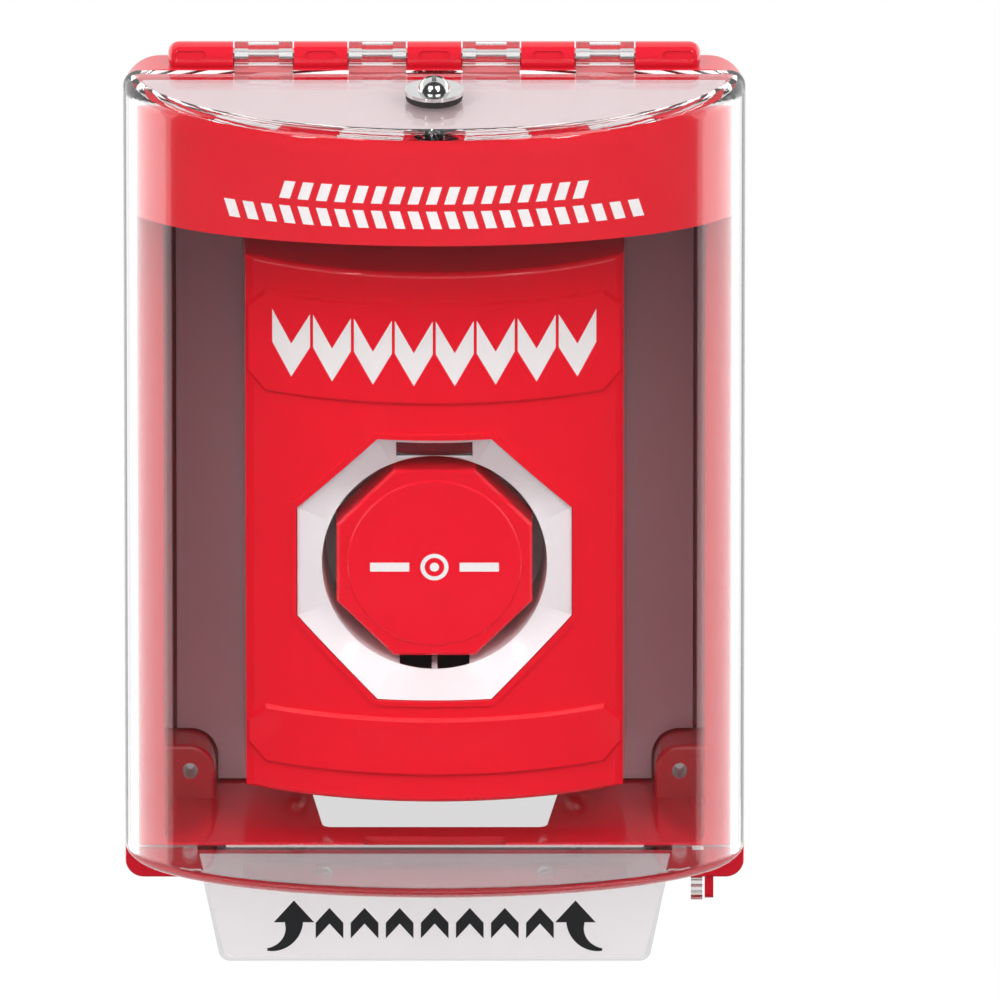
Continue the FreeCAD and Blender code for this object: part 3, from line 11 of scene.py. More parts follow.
import bmesh
import bpy
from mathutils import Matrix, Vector


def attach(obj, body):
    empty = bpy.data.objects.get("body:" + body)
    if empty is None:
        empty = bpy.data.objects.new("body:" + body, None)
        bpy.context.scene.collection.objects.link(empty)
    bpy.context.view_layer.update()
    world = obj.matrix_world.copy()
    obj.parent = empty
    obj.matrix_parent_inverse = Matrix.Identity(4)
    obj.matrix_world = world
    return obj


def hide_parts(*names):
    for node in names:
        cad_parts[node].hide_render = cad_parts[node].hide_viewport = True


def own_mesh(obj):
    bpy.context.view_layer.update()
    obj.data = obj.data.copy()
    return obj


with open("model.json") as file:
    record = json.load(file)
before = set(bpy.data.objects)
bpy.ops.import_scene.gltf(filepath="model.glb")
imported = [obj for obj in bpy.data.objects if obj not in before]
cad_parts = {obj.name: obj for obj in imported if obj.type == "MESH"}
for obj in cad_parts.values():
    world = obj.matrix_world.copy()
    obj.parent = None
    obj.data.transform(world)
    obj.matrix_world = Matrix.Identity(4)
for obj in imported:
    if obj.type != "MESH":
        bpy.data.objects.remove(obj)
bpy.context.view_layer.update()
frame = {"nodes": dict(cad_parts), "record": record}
MM = 0.001
nodes_by_name = {name: bpy.data.objects[name] for name in frame["nodes"]}
print("nodes", len(nodes_by_name))

# %% [markdown]
# The photograph was taken with a long lens from a little above, so uprights stay parallel. A camera eight metres
# away with a matching long lens gives the same view. The scale is 4.63 pixels to the millimetre.

# %% The camera
LOOK_DOWN = math.radians(17.5)
CAMERA_DISTANCE = 8.0
FRAME_WIDTH = 216.0 * MM
AIM = Vector((14.15 * MM, -48.0 * MM, -5.55 * MM))
SENSOR = 36.0
CLIP_NEAR = 0.1
CLIP_FAR = 60.0

scene = bpy.context.scene
camera_data = bpy.data.cameras.new("camera")
camera_data.sensor_width = SENSOR
camera_data.lens = SENSOR * CAMERA_DISTANCE / FRAME_WIDTH
camera_data.clip_start = CLIP_NEAR
camera_data.clip_end = CLIP_FAR
camera = bpy.data.objects.new("camera", camera_data)
scene.collection.objects.link(camera)
towards_room = Vector((0.0, -math.cos(LOOK_DOWN), math.sin(LOOK_DOWN)))
camera.location = AIM + towards_room * CAMERA_DISTANCE
camera.rotation_euler = (-towards_room).to_track_quat("-Z", "Y").to_euler()
scene.camera = camera
scene.view_settings.view_transform = "Standard"
print("lens", round(camera_data.lens), "mm, from", CAMERA_DISTANCE, "m")

# %% [markdown]
# Gloss shows the lamps, so their places matter. Two softboxes hang high at the left and right of the camera, and
# under each a smaller lamp reaches in below the top of the cover. Two larger panels stand beside the wall and give
# the sides their pale sheen. Each lamp is written as a direction, a size and a brightness, and its power follows.

# %% Lamps
SOFTBOXES = {
    "left_softbox": {"turn": -30.0, "lift": 42.0, "away": 1.5, "wide": 0.62, "high": 0.5, "bright": 4.2},
    "right_softbox": {"turn": 30.0, "lift": 42.0, "away": 1.5, "wide": 0.62, "high": 0.5, "bright": 4.2},
    "left_lamp": {"turn": -30.0, "lift": 25.0, "away": 1.5, "wide": 0.18, "high": 0.2, "bright": 14.0},
    "right_lamp": {"turn": 30.0, "lift": 25.0, "away": 1.5, "wide": 0.18, "high": 0.2, "bright": 14.0},
    "left_panel": {"turn": -119.0, "lift": -2.0, "away": 1.5, "wide": 1.8, "high": 1.6, "bright": 1.0},
    "right_panel": {"turn": 119.0, "lift": -2.0, "away": 1.5, "wide": 1.8, "high": 1.6, "bright": 1.0},
}


def add_softbox(name, turn, lift, away, wide, high, bright):
    """A soft lamp seen from the part at a turn from the camera's side and a lift above level, in degrees."""
    turn, lift = math.radians(turn), math.radians(lift)
    level = math.cos(lift)
    place = Vector((math.sin(turn) * level, -math.cos(turn) * level, math.sin(lift))) * away
    data = bpy.data.lights.new(name, "AREA")
    data.shape = "RECTANGLE"
    data.size, data.size_y = wide, high
    data.energy = bright * math.pi * wide * high
    lamp = bpy.data.objects.new(name, data)
    scene.collection.objects.link(lamp)
    lamp.location = place
    lamp.rotation_euler = (-place).to_track_quat("-Z", "Y").to_euler()


for lamp_name, values in SOFTBOXES.items():
    add_softbox(lamp_name, **values)
print("lamps", len(SOFTBOXES))

# %% [markdown]
# The background is white paper behind the part, which the camera sees plainly. Matt surfaces get soft light from
# the paper and from the upper half of the room, and little from below. Light passes into the clear cover as it
# comes. Only plain gloss sees the room dim, which keeps the front of the cover clear. Paper and floor look a little
# greyer through the clear plastic than beside it, as they do through the real one, so that its outline shows.

# %% World
PAPER = 1.0
PAPER_EDGE = 0.04
ROOM_ABOVE = 1.4
ROOM_BELOW = 0.12
ROOM_EDGE = 0.15
ROOM_GLOSS = 0.05
SEEN_THROUGH = 0.78


def rays(tree, *kinds):
    """One where a ray is any of these kinds, from the Light Path node."""
    path = tree.nodes.new("ShaderNodeLightPath")
    total = path.outputs[kinds[0]]
    for kind in kinds[1:]:
        add = tree.nodes.new("ShaderNodeMath")
        add.operation = "ADD"
        add.use_clamp = True
        tree.links.new(total, add.inputs[0])
        tree.links.new(path.outputs[kind], add.inputs[1])
        total = add.outputs[0]
    return total


def mix_shaders(tree, factor, first, second):
    """The first shader where the factor is zero, and the second where it is one."""
    mix = tree.nodes.new("ShaderNodeMixShader")
    tree.links.new(factor, mix.inputs[0])
    tree.links.new(first, mix.inputs[1])
    tree.links.new(second, mix.inputs[2])
    return mix.outputs[0]


def ramp(tree, value, start, end, low, high):
    """Goes from low to high while a value goes from start to end. Low and high are numbers or sockets."""
    node = tree.nodes.new("ShaderNodeMapRange")
    node.inputs["From Min"].default_value = start
    node.inputs["From Max"].default_value = end
    tree.links.new(value, node.inputs["Value"])
    for name, level in (("To Min", low), ("To Max", high)):
        if isinstance(level, float):
            node.inputs[name].default_value = level
        else:
            tree.links.new(level, node.inputs[name])
    return node.outputs["Result"]


world = bpy.data.worlds.new("world")
world.use_nodes = True
scene.world = world
sky = world.node_tree
sky.nodes.clear()
direction = sky.nodes.new("ShaderNodeTexCoord")
split = sky.nodes.new("ShaderNodeSeparateXYZ")
sky.links.new(direction.outputs["Generated"], split.inputs[0])
room = ramp(sky, split.outputs["Z"], -ROOM_EDGE, ROOM_EDGE, ROOM_BELOW, ROOM_ABOVE)
path_kind = sky.nodes.new("ShaderNodeLightPath")
only_gloss = sky.nodes.new("ShaderNodeMath")
only_gloss.operation = "SUBTRACT"
sky.links.new(path_kind.outputs["Is Glossy Ray"], only_gloss.inputs[0])
sky.links.new(path_kind.outputs["Is Transmission Ray"], only_gloss.inputs[1])
seen_room = ramp(sky, only_gloss.outputs[0], 0.0, 1.0, room, ROOM_GLOSS)
paper = ramp(sky, path_kind.outputs["Is Transmission Ray"], 0.0, 1.0, PAPER, SEEN_THROUGH)
light = ramp(sky, split.outputs["Y"], -PAPER_EDGE, PAPER_EDGE, seen_room, paper)
plain = ramp(sky, path_kind.outputs["Is Camera Ray"], 0.0, 1.0, light, PAPER)
seen_sky = sky.nodes.new("ShaderNodeBackground")
seen_sky.inputs["Color"].default_value = (1.0, 1.0, 1.0, 1.0)
sky.links.new(plain, seen_sky.inputs["Strength"])
world_out = sky.nodes.new("ShaderNodeOutputWorld")
sky.links.new(seen_sky.outputs[0], world_out.inputs["Surface"])
print("world nodes", len(sky.nodes))

# %% [markdown]
# The part hangs on a wall, so the floor is well below it. The floor is pale, and the camera and glossy surfaces
# see it as white with a little of its own light and shadow mixed in. It begins under the wall's face and runs back
# from there, so that its reflection in the bowed cover stops where the clear middle of the cover begins.

# %% The floor
FLOOR_DROP = 0.7
FLOOR_DEPTH = 7.0
FLOOR_FRONT = 0.0
FLOOR_SHADE = 0.02
FLOOR_GREY = 0.8

bpy.ops.object.select_all(action="DESELECT")
middle = FLOOR_FRONT + FLOOR_DEPTH / 2
bpy.ops.mesh.primitive_plane_add(size=FLOOR_DEPTH, location=(0.0, middle, -FLOOR_DROP))
floor = bpy.context.active_object
floor.name = "floor"
floor_finish = bpy.data.materials.new("pale_floor")
floor_finish.use_nodes = True
floor_tree = floor_finish.node_tree
floor_tree.nodes.clear()
floor_lit = floor_tree.nodes.new("ShaderNodeBsdfDiffuse")
floor_lit.inputs["Color"].default_value = (FLOOR_GREY, FLOOR_GREY, FLOOR_GREY, 1.0)
floor_glow = floor_tree.nodes.new("ShaderNodeEmission")
floor_kind = floor_tree.nodes.new("ShaderNodeLightPath")
seen_floor = ramp(floor_tree, floor_kind.outputs["Is Transmission Ray"], 0.0, 1.0, PAPER, SEEN_THROUGH)
floor_tree.links.new(seen_floor, floor_glow.inputs["Strength"])
floor_mix = floor_tree.nodes.new("ShaderNodeMixShader")
floor_mix.inputs[0].default_value = FLOOR_SHADE
floor_tree.links.new(floor_glow.outputs[0], floor_mix.inputs[1])
floor_tree.links.new(floor_lit.outputs[0], floor_mix.inputs[2])
white_rays = rays(floor_tree, "Is Camera Ray", "Is Glossy Ray", "Is Transmission Ray")
floor_seen = mix_shaders(floor_tree, white_rays, floor_lit.outputs[0], floor_mix.outputs[0])
floor_out = floor_tree.nodes.new("ShaderNodeOutputMaterial")
floor_tree.links.new(floor_seen, floor_out.inputs["Surface"])
floor.data.materials.append(floor_finish)
print("floor", FLOOR_DROP, "m down")

# %% [markdown]
# Light goes in and out of the clear cover many times along its edges. With the usual few bounces those edges end
# black, so glossy and transmitted rays get more. Matt surfaces get more as well, because the box is deep and most
# of its light comes off its own walls.

# %% Bounces
scene.cycles.max_bounces = 20
scene.cycles.diffuse_bounces = 8
scene.cycles.glossy_bounces = 14
scene.cycles.transmission_bounces = 18
scene.cycles.transparent_max_bounces = 16
print("bounces", scene.cycles.max_bounces)

# %% [markdown]
# Every finish comes from noise in the piece's own coordinates, so that it stays with the piece when it moves. These
# helpers are the steps that plastic and metal share.

# %% Helpers for finishes


def new_material(name):
    material = bpy.data.materials.new(name)
    material.use_nodes = True
    tree = material.node_tree
    return material, tree, tree.nodes["Principled BSDF"]


def noise(tree, scale, detail=3.0):
    """Noise in the piece's own coordinates."""
    place = tree.nodes.new("ShaderNodeTexCoord")
    texture = tree.nodes.new("ShaderNodeTexNoise")
    texture.inputs["Scale"].default_value = scale
    texture.inputs["Detail"].default_value = detail
    tree.links.new(place.outputs["Object"], texture.inputs["Vector"])
    return texture.outputs["Fac"]


def uneven_colour(tree, shader, colour, darkest, scale):
    """A base colour that changes in patches to a darker shade of itself."""
    mix = tree.nodes.new("ShaderNodeMix")
    mix.data_type = "RGBA"
    mix.inputs["A"].default_value = (*colour, 1.0)
    mix.inputs["B"].default_value = (*(c * darkest for c in colour), 1.0)
    tree.links.new(noise(tree, scale), mix.inputs["Factor"])
    tree.links.new(mix.outputs["Result"], shader.inputs["Base Color"])


def uneven_gloss(tree, shader, roughness, least, most, scale):
    """A roughness that changes in patches between two shares of itself."""
    gloss = ramp(tree, noise(tree, scale), 0.0, 1.0, roughness * least, roughness * most)
    tree.links.new(gloss, shader.inputs["Roughness"])


def add_bump(tree, shader, height, strength, distance):
    bump = tree.nodes.new("ShaderNodeBump")
    bump.inputs["Strength"].default_value = strength
    bump.inputs["Distance"].default_value = distance
    tree.links.new(height, bump.inputs["Height"])
    tree.links.new(bump.outputs["Normal"], shader.inputs["Normal"])


# %% [markdown]
# Moulded plastic is never quite even: its gloss varies a little and its surface has a faint ripple where it cooled.
# A matt one has a fine grain in place of the ripple. Each plastic gives its own colour, roughness and relief,
# except that the shell's colour also holds painted shade and the plate's colour holds painted red bounce light.

# %% Plastic finishes
PLASTIC_DARKEST = 0.94
PLASTIC_SHADE_SCALE = 35.0
PLASTIC_GLOSS_SCALE = 60.0
RIPPLE_SCALE = 45.0
GRAIN_SCALE = 900.0
PLASTIC_RELIEF = 0.4 * MM
COAT_ROUGHNESS = 0.04


def plastic(name, colour, roughness, ripple=0.02, grain=0.0, coat=0.0):
    """A moulded plastic: small changes of shade and gloss, and a slow ripple, or a fine grain where it is matt."""
    material, tree, shader = new_material(name)
    uneven_colour(tree, shader, colour, PLASTIC_DARKEST, PLASTIC_SHADE_SCALE)
    uneven_gloss(tree, shader, roughness, 0.8, 1.2, PLASTIC_GLOSS_SCALE)
    shader.inputs["Coat Weight"].default_value = coat
    shader.inputs["Coat Roughness"].default_value = COAT_ROUGHNESS
    height = noise(tree, GRAIN_SCALE if grain else RIPPLE_SCALE, 2.0)
    add_bump(tree, shader, height, grain or ripple, PLASTIC_RELIEF)
    return material


finishes = {
    # The shell's red is darker than its moulding: its own colour with painted shade added for the shaded inner
    # walls of the deep box.
    "red_shell": plastic("red_shell", (0.60, 0.012, 0.026), 0.09, ripple=0.02, coat=0.35),
    "red_station": plastic("red_station", (0.85, 0.007, 0.022), 0.09, ripple=0.02),
    "red_base": plastic("red_base", (0.42, 0.01, 0.02), 0.45, grain=0.1),
    "red_button": plastic("red_button", (0.85, 0.007, 0.024), 0.1, ripple=0.02),
    "red_film": plastic("red_film", (0.74, 0.008, 0.022), 0.35, ripple=0.01),
    "red_seal": plastic("red_seal", (0.42, 0.010, 0.02), 0.5, grain=0.1),
    "white_film": plastic("white_film", (0.86, 0.83, 0.84), 0.35, ripple=0.01),
    "white_bezel": plastic("white_bezel", (0.82, 0.785, 0.805), 0.2, ripple=0.015),
    # The plate is a neutral light grey under any lamp; the mauve tint in its colour is painted red bounce light
    # from the box's walls.
    "grey_plate": plastic("grey_plate", (0.60, 0.45, 0.50), 0.35, grain=0.08),
    "pale_case": plastic("pale_case", (0.58, 0.46, 0.48), 0.4, grain=0.08),
    "switch_body": plastic("switch_body", (0.02, 0.02, 0.022), 0.4, grain=0.08),
    "battery_skin": plastic("battery_skin", (0.03, 0.03, 0.04), 0.3, ripple=0.02),
    "smoked_window": plastic("smoked_window", (0.035, 0.022, 0.026), 0.08, ripple=0.02),
    "dark_rubber": plastic("dark_rubber", (0.02, 0.014, 0.015), 0.65, grain=0.25),
    "white_print": plastic("white_print", (0.88, 0.87, 0.87), 0.4, ripple=0.005),
    "black_print": plastic("black_print", (0.02, 0.02, 0.022), 0.4, ripple=0.005),
}

# %% [markdown]
# The clear cover is real refracting plastic, so that its thick edges catch the light. Rays from the lamps pass
# straight through it, because light bent by the cover would take far too long to find its way inside.

# %% Clear plastic
CLEAR_IOR = 1.49
CLEAR_GLOSS_SCALE = 40.0
CLEAR_RIPPLE_SCALE = 25.0
CLEAR_RIPPLE = 0.02
CLEAR_RELIEF = 0.3 * MM
LAMP_LIGHT_SHARE = 0.94


def clear_plastic(name, tint, roughness):
    """A refracting plastic with a faint ripple that lets most of the lamps' light straight through."""
    material, tree, shader = new_material(name)
    shader.inputs["Base Color"].default_value = (*tint, 1.0)
    shader.inputs["Transmission Weight"].default_value = 1.0
    shader.inputs["IOR"].default_value = CLEAR_IOR
    uneven_gloss(tree, shader, roughness, 0.5, 1.5, CLEAR_GLOSS_SCALE)
    add_bump(tree, shader, noise(tree, CLEAR_RIPPLE_SCALE, 1.0), CLEAR_RIPPLE, CLEAR_RELIEF)
    open_to_lamps = tree.nodes.new("ShaderNodeBsdfTransparent")
    open_to_lamps.inputs["Color"].default_value = (LAMP_LIGHT_SHARE, LAMP_LIGHT_SHARE, LAMP_LIGHT_SHARE, 1.0)
    mixed = mix_shaders(tree, rays(tree, "Is Shadow Ray"), shader.outputs[0], open_to_lamps.outputs[0])
    tree.links.new(mixed, tree.nodes["Material Output"].inputs["Surface"])
    return material


finishes["clear_shell"] = clear_plastic("clear_shell", (0.96, 0.945, 0.95), 0.015)

# %% [markdown]
# Screws, washers, springs and contacts are metal. Turned and rolled metal has fine marks, so its roughness varies
# quickly along it; the top screw is the one that shows, and it is bright.

# %% Metal and circuit board
METAL_DARKEST = 0.85
METAL_SHADE_SCALE = 400.0
METAL_GLOSS_SCALE = 1500.0
METAL_MARK_SCALE = 1800.0
METAL_MARKS = 0.04
METAL_RELIEF = 0.1 * MM


def metal(name, colour, roughness):
    """A turned or rolled metal with fine marks and a gloss that varies with them."""
    material, tree, shader = new_material(name)
    shader.inputs["Metallic"].default_value = 1.0
    uneven_colour(tree, shader, colour, METAL_DARKEST, METAL_SHADE_SCALE)
    uneven_gloss(tree, shader, roughness, 0.6, 1.5, METAL_GLOSS_SCALE)
    add_bump(tree, shader, noise(tree, METAL_MARK_SCALE), METAL_MARKS, METAL_RELIEF)
    return material


finishes["steel"] = metal("steel", (0.72, 0.72, 0.72), 0.14)
finishes["brass"] = metal("brass", (0.78, 0.55, 0.24), 0.25)
finishes["horn_metal"] = metal("horn_metal", (0.62, 0.62, 0.64), 0.3)
finishes["circuit_board"] = plastic("circuit_board", (0.015, 0.11, 0.04), 0.3, grain=0.1)

# %% [markdown]
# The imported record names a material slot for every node, and each slot has its finish above.

# %% Give every node its finish
slots = {entry["node"]: entry["material_slot"] for entry in frame["record"]["subparts"]}
for name, node in nodes_by_name.items():
    finish = finishes[slots[name]]
    for slot in node.material_slots:
        slot.material = finish
    if not node.material_slots:
        node.data.materials.append(finish)
print("finishes", len(finishes))

# %% [markdown]
# The prints are thin ink on curved faces. Each row of marks starts as one flat sheet in front of the part, is
# shaped in edit mode, and is repeated along X. It is then laid on the face behind it with a Shrinkwrap modifier,
# which moves every point straight back until it meets the surface. These first helpers do the common steps.

# %% Helpers for printed marks
INK_RAISE = 0.02 * MM
WAITING_Y = -120.0 * MM


def activate(obj):
    bpy.ops.object.select_all(action="DESELECT")
    obj.select_set(True)
    bpy.context.view_layer.objects.active = obj


def flat_sheet(name, width, height, x, z, columns=1, rows=1):
    """An upright sheet that faces the room, with its place in its mesh."""
    place = (x, WAITING_Y, z)
    bpy.ops.object.select_all(action="DESELECT")
    bpy.ops.mesh.primitive_grid_add(
        x_subdivisions=columns, y_subdivisions=rows, size=1.0, location=place, rotation=(math.pi / 2, 0, 0)
    )
    sheet = bpy.context.active_object
    sheet.name = name
    sheet.scale = (width, height, 1.0)
    bpy.ops.object.transform_apply(location=True, rotation=True, scale=True)
    return sheet


def select_points(obj, test):
    """Selects the points of a mesh in edit mode whose place passes a test."""
    mesh = bmesh.from_edit_mesh(obj.data)
    bpy.ops.mesh.select_mode(type="VERT")
    bpy.ops.mesh.select_all(action="DESELECT")
    for point in mesh.verts:
        point.select = test(point.co)
    mesh.select_flush_mode()
    bmesh.update_edit_mesh(obj.data)


def repeat_along_x(obj, count, pitch):
    """Copies a mark side by side, with the row's middle where the mark was."""
    activate(obj)
    array = obj.modifiers.new("repeat", "ARRAY")
    array.count = count
    array.use_relative_offset = False
    array.use_constant_offset = True
    array.constant_offset_displace = (pitch, 0.0, 0.0)
    bpy.ops.object.modifier_apply(modifier="repeat")
    bpy.ops.transform.translate(value=(-pitch * (count - 1) / 2, 0.0, 0.0))
    bpy.ops.object.transform_apply(location=True, rotation=True, scale=True)


def lay_on(obj, node, body, finish):
    """Lays a print on a node's face, gives it its ink and lets it ride with a body."""
    activate(obj)
    wrap = obj.modifiers.new("lay", "SHRINKWRAP")
    wrap.target = nodes_by_name[node]
    wrap.wrap_method = "PROJECT"
    wrap.use_project_x, wrap.use_project_y, wrap.use_project_z = False, True, False
    wrap.use_positive_direction, wrap.use_negative_direction = True, False
    wrap.wrap_mode = "ABOVE_SURFACE"
    wrap.offset = INK_RAISE
    bpy.ops.object.modifier_apply(modifier="lay")
    obj.data.materials.clear()
    obj.data.materials.append(finishes[finish])
    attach(obj, body)
    depths = [point.co.y / MM for point in obj.data.vertices]
    print(obj.name, "points", len(depths), "depth", round(min(depths), 2), round(max(depths), 2))


# %% [markdown]
# On the station's upper band the real one has large bold lettering. Its place is taken by a row of wide arrow
# strokes that point down at the button. One stroke is a sheet with its middle pulled down.

# %% Arrow strokes on the station's upper band
STROKES = 8
STROKE_PITCH = 8.75 * MM
STROKE_WIDTH = 8.1 * MM
STROKE_THICK = 7.4 * MM
STROKE_DROP = 7.2 * MM
BAND_MIDDLE = 31.8 * MM


def arrow_stroke(name, width, thick, drop, z, columns=8, rows=4):
    """A stroke bent in its middle: each half runs down by the drop, or up where the drop is negative."""
    sheet = flat_sheet(name, width, thick, 0.0, z + drop / 2, columns, rows)
    bpy.ops.object.mode_set(mode="EDIT")
    for column in range(1, columns):
        offset = (column / columns - 0.5) * width
        share = 1.0 - abs(offset) / (width / 2)
        select_points(sheet, lambda p: abs(p.x - offset) < width / columns / 4)
        bpy.ops.transform.translate(value=(0.0, 0.0, -drop * share))
    bpy.ops.object.mode_set(mode="OBJECT")
    return sheet


band_strokes = arrow_stroke("band_strokes", STROKE_WIDTH, STROKE_THICK, STROKE_DROP, BAND_MIDDLE)
repeat_along_x(band_strokes, STROKES, STROKE_PITCH)
lay_on(band_strokes, "station_cover", "housing", "white_print")

# %% [markdown]
# The red film under the top of the cover has two lines of smaller print. Plain slanted dashes stand in for them,
# one way in the upper line and the other way in the lower.

# %% Dashes on the cover film
DASH_WIDTH = 2.3 * MM
DASH_HEIGHT = 3.9 * MM
DASH_SLANT = 1.2 * MM
DASH_PITCH = 3.9 * MM
FILM_LINES = {"film_line_upper": (74.65 * MM, 17, 1.0), "film_line_lower": (69.15 * MM, 23, -1.0)}


def slanted_dash(name, width, height, slant, z, columns=3, rows=4):
    """An upright dash whose rows of points are each pushed a little further to one side."""
    dash = flat_sheet(name, width, height, 0.0, z, columns, rows)
    bpy.ops.object.mode_set(mode="EDIT")
    for row in range(rows + 1):
        share = row / rows - 0.5
        select_points(dash, lambda p: abs(p.z - z - share * height) < height / rows / 4)
        bpy.ops.transform.translate(value=(slant * share, 0.0, 0.0))
    bpy.ops.object.mode_set(mode="OBJECT")
    return dash


for line_name, (z, count, lean) in FILM_LINES.items():
    line = slanted_dash(line_name, DASH_WIDTH, DASH_HEIGHT, DASH_SLANT * lean, z)
    repeat_along_x(line, count, DASH_PITCH)
    lay_on(line, "cover_label", "cover", "white_print")

# %% [markdown]
# The button's word becomes a press mark: a dot in a ring, between two short bars. The ring is a disc that is inset,
# with its middle taken out.

# %% Press mark on the button
MARK_Z = -18.3 * MM
RING_OUTER = 3.0 * MM
RING_WIDTH = 0.9 * MM
DOT_RADIUS = 1.0 * MM
BAR_LENGTH = 8.4 * MM
BAR_HEIGHT = 2.0 * MM
BAR_PLACE = 9.6 * MM


def flat_disc(name, radius, z, corners=48):
    """An upright disc that faces the room, with its place in its mesh."""
    place = (0.0, WAITING_Y, z)
    bpy.ops.object.select_all(action="DESELECT")
    bpy.ops.mesh.primitive_circle_add(
        vertices=corners, radius=radius, fill_type="NGON", location=place, rotation=(math.pi / 2, 0, 0)
    )
    disc = bpy.context.active_object
    disc.name = name
    bpy.ops.object.transform_apply(location=True, rotation=True, scale=True)
    return disc


ring = flat_disc("press_ring", RING_OUTER, MARK_Z)
bpy.ops.object.mode_set(mode="EDIT")
bpy.ops.mesh.select_all(action="SELECT")
bpy.ops.mesh.inset(thickness=RING_WIDTH)
bpy.ops.mesh.delete(type="FACE")
bpy.ops.object.mode_set(mode="OBJECT")
dot = flat_disc("press_dot", DOT_RADIUS, MARK_Z)
bars = flat_sheet("press_bars", BAR_LENGTH, BAR_HEIGHT, 0.0, MARK_Z)
repeat_along_x(bars, 2, 2 * BAR_PLACE)
for mark in (ring, dot, bars):
    lay_on(mark, "button_cap", "button", "white_print")

# %% [markdown]
# The pull tab has two curved arrows that say lift, and between them a row of small strokes that point up. An arrow
# is a triangle joined to a tail. The tail is a short strip whose lower edge is spun in small steps round a point
# beside it, and is drawn in a little after each step, so that it ends in a tip.

# %% Lift arrows on the tab
ARROW_X = 30.5 * MM
ARROW_BASE_Z = -100.6 * MM
HEAD_HALF = 4.4 * MM
HEAD_HEIGHT = 5.0 * MM
TAIL_HALF = 1.95 * MM
TAIL_STRIP = 0.4 * MM
TAIL_TURN = 5.8 * MM
TAIL_STEPS = 12
TAIL_TIP_SHARE = 0.15


def middle_of_selected(obj):
    """The mean place of the selected points of a mesh in edit mode."""
    points = [point.co for point in bmesh.from_edit_mesh(obj.data).verts if point.select]
    return sum(points, Vector()) / len(points)


def arrow_head(name, x):
    """A triangle that points up."""
    head = flat_sheet(name, 2 * HEAD_HALF, HEAD_HEIGHT, x, ARROW_BASE_Z + HEAD_HEIGHT / 2)
    bpy.ops.object.mode_set(mode="EDIT")
    select_points(head, lambda p: p.z > ARROW_BASE_Z + HEAD_HEIGHT / 2)
    bpy.ops.mesh.merge(type="CENTER")
    bpy.ops.object.mode_set(mode="OBJECT")
    return head


def arrow_tail(name, x, side):
    """A tapering strip that runs down from the head and turns out to one side."""
    low = ARROW_BASE_Z - TAIL_STRIP
    tail = flat_sheet(name, 2 * TAIL_HALF, TAIL_STRIP, x, ARROW_BASE_Z - TAIL_STRIP / 2)
    bpy.ops.object.mode_set(mode="EDIT")
    select_points(tail, lambda p: p.z < low + TAIL_STRIP / 2)
    share = 1.0
    for step in range(1, TAIL_STEPS + 1):
        turn = side * math.pi / 2 / TAIL_STEPS
        centre = (x + side * TAIL_TURN, WAITING_Y, low)
        bpy.ops.mesh.spin(steps=1, angle=turn, center=centre, axis=(0.0, 1.0, 0.0))
        next_share = 1.0 - (1.0 - TAIL_TIP_SHARE) * step / TAIL_STEPS
        shrink = next_share / share
        bpy.ops.transform.resize(value=(shrink, 1.0, shrink), center_override=middle_of_selected(tail))
        share = next_share
    bpy.ops.object.mode_set(mode="OBJECT")
    return tail


for side, arrow_name in ((-1, "lift_arrow_left"), (1, "lift_arrow_right")):
    arrow = arrow_head(arrow_name, side * ARROW_X)
    tail = arrow_tail("arrow_tail", side * ARROW_X, side)
    activate(arrow)
    tail.select_set(True)
    bpy.ops.object.join()
    lay_on(arrow, "tab_label", "cover", "black_print")

# %% Up strokes in the middle of the tab
UP_STROKES = 7
UP_PITCH = 7.6 * MM
UP_WIDTH = 6.0 * MM
UP_THICK = 3.6 * MM
UP_RISE = 3.4 * MM
UP_MIDDLE = -100.8 * MM

up_strokes = arrow_stroke("tab_strokes", UP_WIDTH, UP_THICK, -UP_RISE, UP_MIDDLE)
repeat_along_x(up_strokes, UP_STROKES, UP_PITCH)
lay_on(up_strokes, "tab_label", "cover", "black_print")

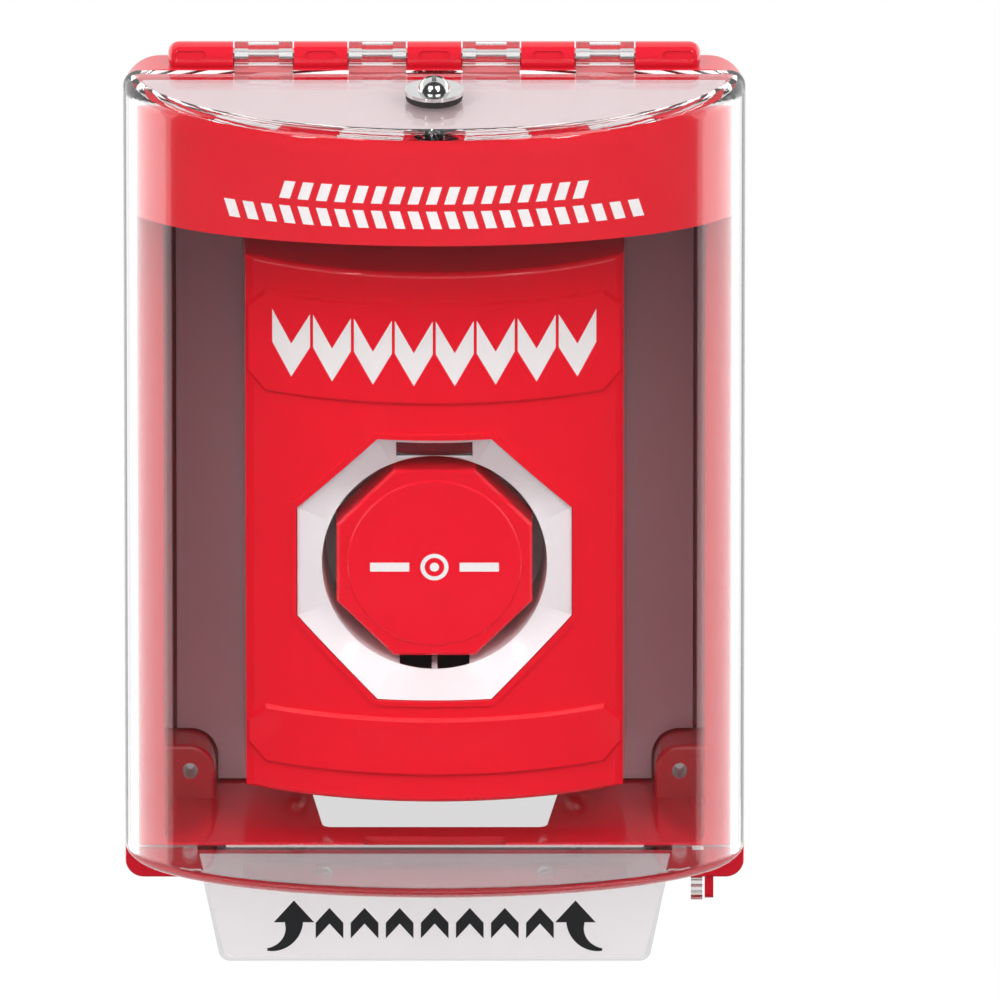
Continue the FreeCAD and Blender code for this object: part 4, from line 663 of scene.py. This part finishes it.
# %% [markdown]
# The return spring has to shorten when the button goes in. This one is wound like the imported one, from a small
# circle that the Screw modifier turns round the stem.

# %% Wind the return spring
SPRING_MIDDLE_Z = -17.5 * MM
SPRING_FRONT = -48.45 * MM
SPRING_SEAT = -37.1 * MM
SPRING_COIL = 4.75 * MM
SPRING_WIRE = 0.9 * MM
SPRING_END_GAP = 0.05 * MM
SPRING_TURNS = 5
WIRE_CORNERS = 12
TURN_STEPS = 32

wire_middle = SPRING_FRONT + SPRING_WIRE / 2
wire_place = (0.0, wire_middle, SPRING_MIDDLE_Z)
bpy.ops.object.select_all(action="DESELECT")
bpy.ops.mesh.primitive_circle_add(
    vertices=WIRE_CORNERS, radius=SPRING_WIRE / 2, fill_type="NOTHING", location=wire_place
)
spring = bpy.context.active_object
spring.name = "return_spring"
bpy.ops.object.mode_set(mode="EDIT")
bpy.ops.mesh.select_all(action="SELECT")
bpy.ops.transform.translate(value=(SPRING_COIL, 0.0, 0.0))
bpy.ops.object.mode_set(mode="OBJECT")
coil = spring.modifiers.new("coil", "SCREW")
coil.axis = "Y"
coil.steps = coil.render_steps = TURN_STEPS
coil.iterations = SPRING_TURNS
coil.screw_offset = (SPRING_SEAT - SPRING_FRONT - SPRING_WIRE - SPRING_END_GAP) / SPRING_TURNS
coil.use_normal_calculate = True
bpy.ops.object.modifier_apply(modifier="coil")
print("spring points", len(spring.data.vertices))

# %% [markdown]
# The two cut ends of the wire are closed.

bpy.ops.object.mode_set(mode="EDIT")
bpy.ops.mesh.select_mode(type="EDGE")
bpy.ops.mesh.select_all(action="DESELECT")
bpy.ops.mesh.select_non_manifold()
bpy.ops.mesh.edge_face_add()
bpy.ops.mesh.select_all(action="SELECT")
bpy.ops.mesh.normals_make_consistent(inside=False)
bpy.ops.object.mode_set(mode="OBJECT")
bpy.ops.object.shade_smooth()
bpy.ops.object.transform_apply(location=True, rotation=True, scale=True)
spring.data.materials.append(finishes["steel"])
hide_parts("button_spring")
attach(spring, "housing")
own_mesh(spring)
